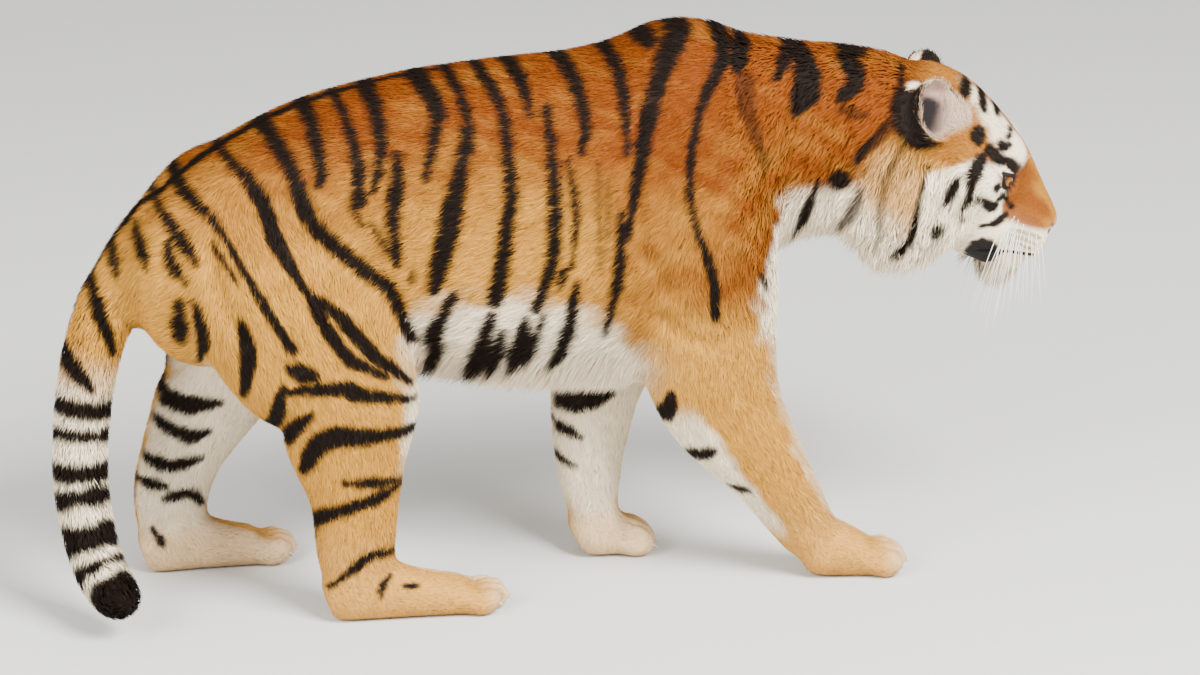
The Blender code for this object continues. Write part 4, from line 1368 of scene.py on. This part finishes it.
# The faces between a tuft's corners, from its root's ring to its tip, and how far along it each lies.
STRAIGHT_TUFT = (
    ((0, 1, 2), (1, 0, 3), (2, 1, 3), (0, 2, 3)),
    (0, 0, 0, 1.0),
)
BENT_TUFT = (
    (
        (0, 1, 2), (1, 0, 4), (4, 0, 3), (2, 1, 5), (5, 1, 4),
        (0, 2, 3), (3, 2, 5), (4, 3, 6), (5, 4, 6), (3, 5, 6),
    ),
    (0, 0, 0, 0.5, 0.5, 0.5, 1.0),
)
PIECES = (
    ("coat_back_right", "coat_tawny"), ("coat_back_left", "coat_tawny"),
    ("coat_hind_right", "coat_tawny"), ("coat_hind_left", "coat_tawny"),
    ("coat_fore_right", "coat_tawny"), ("coat_fore_left", "coat_tawny"),
    ("coat_neck", "coat_tawny"), ("coat_head", "coat_pale"), ("coat_face", "coat_pale"),
    ("coat_tail", "coat_pale"),
)


class Roots:
    """Where tufts grow: their places, the skin's normal there, the hair's lie, the spot in the unwrap."""

    def __init__(self, mesh, share, rng):
        triangles = triangles_of(mesh)
        points = points_of(mesh)
        normals = normals_of(mesh)
        corners = points[triangles]
        middles = corners.mean(1)
        spans = np.cross(corners[:, 1] - corners[:, 0], corners[:, 2] - corners[:, 0])
        area = np.linalg.norm(spans, axis=1) / 2
        dense = coat_value(coat_shares(middles), "dense") * TO_SQUARE_METRES * share
        edge, _, _ = lid_place(head_place(middles))
        dense = dense * smooth(1.5, 2.1, edge)
        bare = read(mesh.attributes["bare"].data, "color", 4)[:, :2].max(1)[triangles].max(1)
        expected = np.cumsum(area * dense * (bare < BARE_ROOT))
        count = int(expected[-1])
        chosen = np.searchsorted(expected, (np.arange(count) + rng.random(count)) * expected[-1] / count)
        chosen = np.minimum(chosen, len(triangles) - 1)
        u, v = rng.random((2, count))
        over = u + v > 1
        u[over], v[over] = 1 - u[over], 1 - v[over]
        weights = np.stack([1 - u - v, u, v], 1)[:, :, None]
        self.place = (corners[chosen] * weights).sum(1)
        self.normal = unit((normals[triangles[chosen]] * weights).sum(1))
        loops = read(mesh.loop_triangles, "loops", 3, np.int32)
        flat = read(mesh.uv_layers["OFBake"].data, "uv", 2)
        self.spot = (flat[loops[chosen]] * weights).sum(1)
        self.shares = coat_shares(self.place)
        self.lie = lie_of_coat(self.place, self.normal)
        self.clear = np.ones(count, bool)
        face = np.flatnonzero(head_share(self.place) > 0.5)
        reach = (coat_value(self.shares, "length")[:, None] * self.lie)[face]
        for along in (0.4, 0.7, 1.0):
            over = bare_parts(self.place[face] + along * reach)[:, :2].max(1)
            self.clear[face] &= over < BARE_TIP

    def pieces(self):
        """The index of the coat piece that each root belongs to."""
        shares, _ = limb_shares(self.place)
        left = (self.place[:, 1] > 0).astype(int)
        found = left.copy()
        for first, part in ((2, "hind"), (4, "fore")):
            leg = limb_sum(shares, part) > LEG_LIMIT
            found[leg] = first + left[leg]
        found[(self.place[:, 0] > 0.30) & (self.place[:, 2] > 0.55)] = 6
        head = head_share(self.place) > 0.5
        found[head] = np.where(head_place(self.place[head])[:, 0] > 0.06, 8, 7)
        found[shares["tail"] > 0.5] = 9
        found[~self.clear] = -1
        return found


def tuft_rings(roots, chosen, length, width, rise, surface, rng):
    """Each tuft's ring of corners at its root and its tip, and its side, half width and rise."""
    place, normal, lie = roots.place[chosen], roots.normal[chosen], roots.lie[chosen]
    count = len(place)
    side = np.cross(normal, lie)
    turn = WANDER * rng.normal(size=count)[:, None]
    clump = CLUMPS[0] * ripple(place, 0.035, 31)[:, None] + CLUMPS[1] * ripple(place, 0.012, 32)[:, None]
    way = unit(lie + side * (turn + clump))
    side = np.cross(normal, way)
    length = length[:, None] * rng.uniform(0.75, 1.15, (count, 1))
    rise = rise[:, None] * rng.uniform(0.6, 1.15, (count, 1))

    def above(points, height):
        """The places at a height over the skin nearest to the points."""
        found = np.empty_like(points)
        for i, point in enumerate(points):
            near, face_normal, _, _ = surface.find_nearest(point)
            found[i] = near
            found[i] += height[i] * np.array(face_normal)
        return found

    tip = above(place + way * length, rise)
    half = width[:, None] / 2
    back = place - normal * ROOT_SINK
    ring = [back + side * half, back - side * half, back + normal * half * 0.9]
    return ring, tip, side, half, rise


def tuft_sizes(roots, chosen, settings):
    """Each tuft's length, width and rise over the skin. Those that hang under the body are shorter."""
    shares = {key: value[chosen] for key, value in roots.shares.items()}
    edge, _, _ = lid_place(head_place(roots.place[chosen]))
    hang = coat_value(shares, "hang")
    under = smooth(0.10, -0.70, roots.normal[chosen, 2]) * smooth(0.0, 0.02, hang)
    length = coat_value(shares, "length") * settings.length * (1.0 - 0.5 * under)
    length = length * (0.4 + 0.6 * smooth(1.5, 3.5, edge))
    rise = coat_value(shares, "rise") * coat_value(shares, "depth")
    return length, coat_value(shares, "width"), rise + (hang - rise) * under


def tuft_rows(roots, chosen, sizes, is_bent, surface, rng):
    """The places of the tufts' corners, one row for each corner from root to tip, and their markings with
    painted shade.
    """
    ring, tip, side, half, up = tuft_rings(roots, chosen, *sizes, surface, rng)
    place, normal = roots.place[chosen], roots.normal[chosen]
    rows = list(ring)
    if is_bent:
        middle = 0.5 * (place + tip) + normal * (0.30 * up)
        wide = 0.80 * half
        rows += [middle + side * wide, middle - side * wide, middle + normal * wide * 0.8]
    rows.append(tip)
    _, reach = BENT_TUFT if is_bent else STRAIGHT_TUFT
    ears = ear_share(place)[:, None]
    seen = {}
    for share in sorted(set(reach)):
        ahead = (1.0 - ears) * ((0.25 + 0.75 * share) if is_bent else (0.45 + 0.45 * share))
        seen[share] = markings_and_shade(place + ahead * (tip - place))
    return rows, [seen[share] for share in reach]


def triangle_mesh(name, corners, faces):
    """A smooth mesh of triangles."""
    mesh = bpy.data.meshes.new(name)
    mesh.vertices.add(len(corners))
    mesh.vertices.foreach_set("co", corners.astype(np.float32).ravel())
    mesh.loops.add(3 * len(faces))
    mesh.loops.foreach_set("vertex_index", faces.astype(np.int32).ravel())
    mesh.polygons.add(len(faces))
    mesh.polygons.foreach_set("loop_start", np.arange(0, 3 * len(faces), 3, dtype=np.int32))
    mesh.update(calc_edges=True)
    mesh.polygons.foreach_set("use_smooth", np.ones(len(faces), bool))
    return mesh


def coat_piece(name, roots, chosen, settings, surface, material, rng):
    """One coat piece: closed three-sided tufts, with one bend where they are long."""
    sizes = tuft_sizes(roots, chosen, settings)
    bent = sizes[0] > LONG_TUFT
    corners, faces, owners, alongs, marks_and_shade = [], [], [], [], []
    offset = 0
    for is_bent in (False, True):
        use = np.flatnonzero(bent == is_bent)
        if not len(use):
            continue
        own = chosen[use]
        rows, seen = tuft_rows(roots, own, [size[use] for size in sizes], is_bent, surface, rng)
        shape, reach = BENT_TUFT if is_bent else STRAIGHT_TUFT
        start = offset + len(rows) * np.arange(len(use))
        corners.append(np.stack(rows, 1).reshape(-1, 3))
        faces.append((start[:, None, None] + np.array(shape)[None]).reshape(-1, 3))
        owners.append(np.repeat(own, len(rows)))
        alongs.append(np.tile(reach, len(use)))
        marks_and_shade.append(np.stack(seen, 1).reshape(-1, 3))
        offset += len(rows) * len(use)
    corners, faces, owners, alongs, marks_and_shade = map(np.concatenate, (corners, faces, owners, alongs, marks_and_shade))

    mesh = triangle_mesh(name, corners, faces)
    patch = rng.uniform(-PATCH, PATCH, (len(corners), 2))
    layer = mesh.uv_layers.new(name="OFBake")
    layer.data.foreach_set("uv", (roots.spot[owners] + patch)[faces.ravel()].astype(np.float32).ravel())
    # Each tuft's own random tone, times painted shade that darkens its root and lightens its tip.
    tone_and_shade = rng.normal(1.0, TONE_SPREAD, len(roots.place))[owners] * (ROOT_SHADE_TONE + TIP_LIGHT_TONE * alongs)
    set_attribute(mesh, "marks_and_shade", "FLOAT_COLOR", opaque(marks_and_shade))
    set_attribute(mesh, "tone_and_shade", "FLOAT", tone_and_shade)
    lean = rng.normal(0.0, NORMAL_SPREAD, (len(roots.place), 3))[owners]
    facing = unit(roots.normal[owners] + lean + NORMAL_LEAN * alongs[:, None] * roots.lie[owners])
    mesh.normals_split_custom_set_from_vertices(facing.astype(np.float32))
    mesh.materials.append(material)
    return link(bpy.data.objects.new(name, mesh))


def grow_coat(skin, settings):
    """Grows every piece of the coat from the skin."""
    rng = np.random.default_rng(20)
    share = settings.density * 1.0
    roots = Roots(skin.data, share, rng)
    surface = surface_of(skin.data)
    piece = roots.pieces()
    material = coat_material(settings)
    for index, (name, slot) in enumerate(PIECES):
        chosen = np.flatnonzero(piece == index)
        item = coat_piece(name, roots, chosen, settings, surface, material, rng)
        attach(item, "root")


# ---- Eyes ----
EYE_RINGS = 30
EYE_SIDES = 48
CORNEA_ANGLE = 46.0
PUPIL_ANGLE = 13.0
IRIS_ANGLE = 40.0
BULGE = 0.055
BALL_SHARE = 0.985
BALL_GAP = 0.0006
IRIS_RIM = (40, 24, 14)
EYE_WHITE = (84, 58, 44)


def eye_frame(side):
    """The eye's middle, and the ways of its gaze, front corner and upper lid, in the head's frame."""
    mirror = np.array([1.0, side, 1.0])
    return (mirror * place for place in (np.array(EYE), *eye_axes()))


def sort_faces(work):
    """Puts the faces in the order of their corners, because a ball's come in another order each run."""
    work.verts.index_update()
    count = len(work.verts)

    def order(face):
        number = 0
        for index in sorted(vert.index for vert in face.verts):
            number = number * count + index
        return number

    work.faces.sort(key=order)


def build_eye(side, settings):
    """An eyeball that bulges over its iris and is coloured by the angle from its gaze."""
    name = "eye_right_ball" if side < 0 else "eye_left_ball"
    middle, gaze, across, up = eye_frame(side)
    work = bmesh.new()
    bmesh.ops.create_uvsphere(work, u_segments=EYE_SIDES, v_segments=EYE_RINGS, radius=1.0)
    sort_faces(work)
    angles = []
    turn = Matrix((across, up, gaze)).transposed()
    for vert in work.verts:
        angle = math.degrees(math.acos(max(-1.0, min(1.0, vert.co.z))))
        angles.append((angle, math.atan2(vert.co.y, vert.co.x)))
        bulge = BULGE * max(0.0, 1.0 - (angle / CORNEA_ANGLE) ** 2)
        reach = (turn @ vert.co) * (EYE_RADIUS - BALL_GAP) * (BALL_SHARE + bulge)
        vert.co = HEAD_FRAME @ (Vector(middle) + reach)
    mesh = mesh_from(work, name)
    shade_smooth(mesh)
    angle, round_ = np.array(angles).T
    fleck = 0.12 * np.sin(17 * round_) + 0.08 * np.sin(31 * round_ + 1.0)
    iris = np.array(settings.iris)[None] * (1.0 + fleck * smooth(9, 20, angle))[:, None]
    iris = iris * (0.55 + 0.70 * smooth(IRIS_ANGLE - 4, 16, angle))[:, None]
    rim = np.array(paint(IRIS_RIM)[:3])
    white = np.array(paint(EYE_WHITE)[:3])
    edge = smooth(IRIS_ANGLE - 5, IRIS_ANGLE, angle)[:, None]
    colour = iris * (1 - edge) + rim * edge
    beyond = smooth(IRIS_ANGLE + 4, IRIS_ANGLE + 14, angle)[:, None]
    colour = colour * (1 - beyond) + white * beyond
    colour = colour * smooth(PUPIL_ANGLE, PUPIL_ANGLE + 1.5, angle)[:, None]
    set_attribute(mesh, "look", "FLOAT_COLOR", opaque(np.clip(colour, 0, 1)))
    material = bpy.data.materials.get("Tiger eye")
    if material is None:
        material, shader = principled(
            "Tiger eye", Roughness=0.55, Specular_IOR_Level=0.08, Coat_Weight=0.5, Coat_Roughness=0.03
        )
        look = attribute(material.node_tree, "look")
        material.node_tree.links.new(look.outputs["Color"], shader.inputs["Base Color"])
    mesh.materials.append(material)
    return link(bpy.data.objects.new(name, mesh))


# ---- Whiskers and claws ----
WHISKER_ROWS = 5
WHISKERS_IN_ROW = 6
WHISKER_STEPS = 9
WHISKER_RADII = (0.0007, 0.00014)
BROW_WHISKERS = 4
BROW_LENGTH = 0.055
BROW_STEPS = 6
BROW_RADII = (0.0005, 0.0001)
WHISKER_ROOT = 0.004
CLAW_HEIGHT = 0.020
CLAW_LENGTH = 0.016
CLAW_ROOT = 0.007
CLAW_RADIUS = 0.0034
CLAW_TIP = 0.0003
CLAW_STEPS = 6
CLAW_AHEAD = 0.1


def add_tapered(work, path, radii, sides=6):
    """Adds a closed tube through the path's places, with a radius at each."""
    rings = []
    for i, (place, radius) in enumerate(zip(path, radii)):
        ahead = Vector(path[min(i + 1, len(path) - 1)]) - Vector(path[max(i - 1, 0)])
        turn = ahead.to_track_quat("Z", "Y")
        rings.append([
            work.verts.new(Vector(place) + turn @ Vector((radius * math.cos(a), radius * math.sin(a), 0.0)))
            for a in (2 * math.pi * k / sides for k in range(sides))
        ])
    for a, b in zip(rings, rings[1:]):
        for k in range(sides):
            n = (k + 1) % sides
            work.faces.new((a[k], a[n], b[n], b[k]))
    work.faces.new(reversed(rings[0]))
    work.faces.new(rings[-1])


def finish_mesh(work, name, material):
    """The finished object of a mesh in work."""
    bmesh.ops.recalc_face_normals(work, faces=work.faces)
    mesh = mesh_from(work, name)
    shade_smooth(mesh)
    mesh.materials.append(material)
    return link(bpy.data.objects.new(name, mesh))


def add_whisker(work, root, out, length, droop, steps, radii):
    """Adds one whisker that leaves the skin along out, droops towards its end and thins to its tip."""
    along = np.linspace(0, 1, steps)
    path = [root + out * (length * t - WHISKER_ROOT) + Vector(droop) * (length * t * t) for t in along]
    add_tapered(work, path, [radii[0] * (1 - t) + radii[1] for t in along])


def build_whiskers(settings):
    """Rows of stiff whiskers on the muzzle's pads, and a few over each eye."""
    surface = surface_of(bpy.data.objects["tiger_skin"].data)
    rng = np.random.default_rng(7)
    work = bmesh.new()
    for side in (-1, 1):
        for row in range(WHISKER_ROWS):
            for spot in range(WHISKERS_IN_ROW):
                near = Vector((0.220 - 0.012 * spot - 0.004 * row, side * 0.05, -0.056 - 0.0065 * row))
                root = surface.find_nearest(HEAD_FRAME @ near)[0]
                length = settings.whisker_length * (0.48 + 0.09 * spot) * rng.uniform(0.85, 1.1)
                ahead, aside, down = 0.12 - 0.11 * spot, side * (0.55 - 0.05 * row), -0.80 - 0.10 * row
                out = Vector((ahead, aside, down)).normalized()
                out = HEAD_YAW @ (out + 0.09 * Vector(rng.normal(size=3)))
                add_whisker(work, root, out, length, (-0.05, 0.0, -0.45), WHISKER_STEPS, WHISKER_RADII)
        for spot in range(BROW_WHISKERS):
            near = Vector((0.098 + 0.009 * spot, side * 0.058, 0.045))
            root = surface.find_nearest(HEAD_FRAME @ near)[0]
            out = HEAD_FRAME.to_3x3() @ Vector((0.15 - 0.1 * spot, side * 0.55, 0.75)).normalized()
            length = BROW_LENGTH * rng.uniform(0.8, 1.1)
            add_whisker(work, root, out, length, (-0.2, 0, -0.3), BROW_STEPS, BROW_RADII)
    material, _ = principled("Whisker", paint((238, 232, 222)), Roughness=0.4)
    return finish_mesh(work, "whiskers", material)


def build_claws():
    """The tips of the claws, which show a little between the hairs of the toes."""
    work = bmesh.new()
    surface = surface_of(bpy.data.objects["tiger_skin"].data)
    along = np.linspace(0, 1, CLAW_STEPS)
    for foot in FEET:
        turn = Matrix.Rotation(math.radians(foot.heading), 3, "Z")
        for toe in TOES:
            ahead = Vector((foot.reach + CLAW_AHEAD, toe * TOE_PITCH * foot.half, 0))
            start = Vector((foot.x, foot.y, CLAW_HEIGHT)) + turn @ ahead
            hit = surface.ray_cast(start, turn @ Vector((-1, 0, 0)))[0]
            if hit is None:
                raise RuntimeError(f"no toe found for a claw at {tuple(start)}")
            path = [
                hit + turn @ Vector((CLAW_LENGTH * t - CLAW_ROOT, 0.0, 0.004 - 0.010 * t * t)) for t in along
            ]
            add_tapered(work, path, [CLAW_RADIUS * (1 - t) ** 0.7 + CLAW_TIP for t in along])
    material, _ = principled("Claw", paint((205, 192, 170)), Roughness=0.35)
    return finish_mesh(work, "claws", material)


# ---- Settings ----
class TigerCoatSettings(bpy.types.PropertyGroup):
    length: bpy.props.FloatProperty(
        name="Length", description="Length of the tufts, over the length seen on the animal",
        default=1.0, min=0.3, max=2.0, subtype="FACTOR",
    )
    density: bpy.props.FloatProperty(
        name="Density", description="Number of tufts, over the number in the full coat",
        default=1.0, min=0.05, max=1.2, subtype="FACTOR",
    )
    deep: bpy.props.FloatVectorProperty(
        name="Deep orange", description="Colour of the coat along the back and shoulders",
        default=paint((122, 59, 9))[:3], min=0.0, max=1.0, subtype="COLOR",
    )
    tawny: bpy.props.FloatVectorProperty(
        name="Light tawny", description="Colour of the coat on the flanks and legs",
        default=paint((203, 144, 55))[:3], min=0.0, max=1.0, subtype="COLOR",
    )
    pale: bpy.props.FloatVectorProperty(
        name="Pale", description="Colour of the belly, cheeks, chin and inner legs",
        default=paint((255, 236, 203))[:3], min=0.0, max=1.0, subtype="COLOR",
    )
    # Also the colour of the painted shade between the toes, in the ears' hollows and at the mouth's corners.
    dark: bpy.props.FloatVectorProperty(
        name="Stripes", description="Colour of the stripes",
        default=paint((24, 15, 9))[:3], min=0.0, max=1.0, subtype="COLOR",
    )
    nose: bpy.props.FloatVectorProperty(
        name="Nose", description="Colour of the bare nose pad",
        default=paint((176, 120, 104))[:3], min=0.0, max=1.0, subtype="COLOR",
    )
    ear: bpy.props.FloatVectorProperty(
        name="Inner ear", description="Colour of the skin inside the ears",
        default=paint((164, 134, 120))[:3], min=0.0, max=1.0, subtype="COLOR",
    )
    # Also the colour of the painted shade in the nostrils, the ears' holes and the mouth's corners.
    rim: bpy.props.FloatVectorProperty(
        name="Lids and lips", description="Colour of the lids' edges and the lips",
        default=paint((22, 17, 16))[:3], min=0.0, max=1.0, subtype="COLOR",
    )


class TigerEyeSettings(bpy.types.PropertyGroup):
    iris: bpy.props.FloatVectorProperty(
        name="Iris", description="Colour of the iris",
        default=paint((132, 78, 14))[:3], min=0.0, max=1.0, subtype="COLOR",
    )
    whisker_length: bpy.props.FloatProperty(
        name="Whisker length", description="Length of the longest whiskers",
        default=0.135, min=0.02, max=0.25, unit="LENGTH", subtype="DISTANCE",
    )


class TigerStageSettings(bpy.types.PropertyGroup):
    floor: bpy.props.FloatVectorProperty(
        name="Floor", description="Colour of the floor",
        default=paint((214, 214, 210))[:3], min=0.0, max=1.0, subtype="COLOR",
    )
    light: bpy.props.FloatProperty(
        name="Light", description="Strength of the main light, in watts",
        default=1300.0, min=0.0, max=4000.0, unit="POWER",
    )


# ---- Operators, panel and registration ----
class TIGER_OT_skin(bpy.types.Operator):
    """Builds one skin over the frame's solids, with folds, lids and nose"""

    bl_idname = "tiger.skin"
    bl_label = "Skin"

    def execute(self, context):
        settings = context.scene.tiger_coat
        skin = build_skin()
        skin.data.materials.append(skin_material(settings))
        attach(skin, "root")
        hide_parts(*FLESH_NODES)
        return {"FINISHED"}


class TIGER_OT_coat(bpy.types.Operator):
    """Grows the coat's tufts from the skin"""

    bl_idname = "tiger.coat"
    bl_label = "Coat"

    def execute(self, context):
        skin = bpy.data.objects.get("tiger_skin")
        if skin is None:
            raise RuntimeError("The coat grows from the skin: build the skin first.")
        grow_coat(skin, context.scene.tiger_coat)
        return {"FINISHED"}


class TIGER_OT_eyes(bpy.types.Operator):
    """Builds the two eyes in their sockets"""

    bl_idname = "tiger.eyes"
    bl_label = "Eyes"

    def execute(self, context):
        for side, node in ((-1, "eye_right"), (1, "eye_left")):
            eye = build_eye(side, context.scene.tiger_eyes)
            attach(eye, "root")
            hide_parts(node)
        return {"FINISHED"}


class TIGER_OT_whiskers(bpy.types.Operator):
    """Sets the whiskers on the muzzle and brows"""

    bl_idname = "tiger.whiskers"
    bl_label = "Whiskers"

    def execute(self, context):
        whiskers = build_whiskers(context.scene.tiger_eyes)
        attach(whiskers, "root")
        return {"FINISHED"}


class TIGER_OT_claws(bpy.types.Operator):
    """Sets the drawn-in claws at the toes' tips"""

    bl_idname = "tiger.claws"
    bl_label = "Claws"

    def execute(self, context):
        claws = build_claws()
        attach(claws, "root")
        return {"FINISHED"}


class TIGER_OT_stage(bpy.types.Operator):
    """Sets the floor, lights and camera"""

    bl_idname = "tiger.stage"
    bl_label = "Stage"

    def execute(self, context):
        settings = context.scene.tiger_stage
        make_floor(settings.floor)
        add_light("Key", KEY_PLACE, settings.light)
        add_light("Fill", FILL_PLACE, FILL_SHARE * settings.light)
        world = bpy.data.worlds.new("Studio")
        context.scene.world = world
        world.use_nodes = True
        sky = world.node_tree.nodes["Background"]
        sky.inputs["Color"].default_value = SKY_COLOUR
        sky.inputs["Strength"].default_value = SKY_STRENGTH
        add_camera()
        return {"FINISHED"}


OPERATORS = (TIGER_OT_skin, TIGER_OT_coat, TIGER_OT_eyes, TIGER_OT_whiskers, TIGER_OT_claws, TIGER_OT_stage)


class TIGER_PT_panel(bpy.types.Panel):
    """Lists the tiger's pieces and their settings"""

    bl_idname = "TIGER_PT_panel"
    bl_label = "Walking Tiger"
    bl_space_type = "VIEW_3D"
    bl_region_type = "UI"
    bl_category = "Tiger"

    def draw(self, context):
        for operator in OPERATORS:
            self.layout.operator(operator.bl_idname)
        for group in SETTINGS:
            box = self.layout.box()
            owner = getattr(context.scene, group)
            for name in owner.bl_rna.properties.keys():
                if name not in ("rna_type", "name"):
                    box.prop(owner, name)


SETTINGS = {
    "tiger_coat": TigerCoatSettings,
    "tiger_eyes": TigerEyeSettings,
    "tiger_stage": TigerStageSettings,
}


def register():
    """Adds the operators, the panel and their settings."""
    for cls in (*SETTINGS.values(), *OPERATORS, TIGER_PT_panel):
        bpy.utils.register_class(cls)
    for name, group in SETTINGS.items():
        setattr(bpy.types.Scene, name, bpy.props.PointerProperty(type=group))


def unregister():
    """Takes away what register adds."""
    for name in SETTINGS:
        delattr(bpy.types.Scene, name)
    for cls in (TIGER_PT_panel, *reversed(OPERATORS), *SETTINGS.values()):
        bpy.utils.unregister_class(cls)


def main():
    """Builds every piece and the stage."""
    register()
    bpy.ops.tiger.skin()
    bpy.ops.tiger.coat()
    bpy.ops.tiger.eyes()
    bpy.ops.tiger.whiskers()
    bpy.ops.tiger.claws()
    bpy.ops.tiger.stage()


if __name__ == "__main__":
    main()
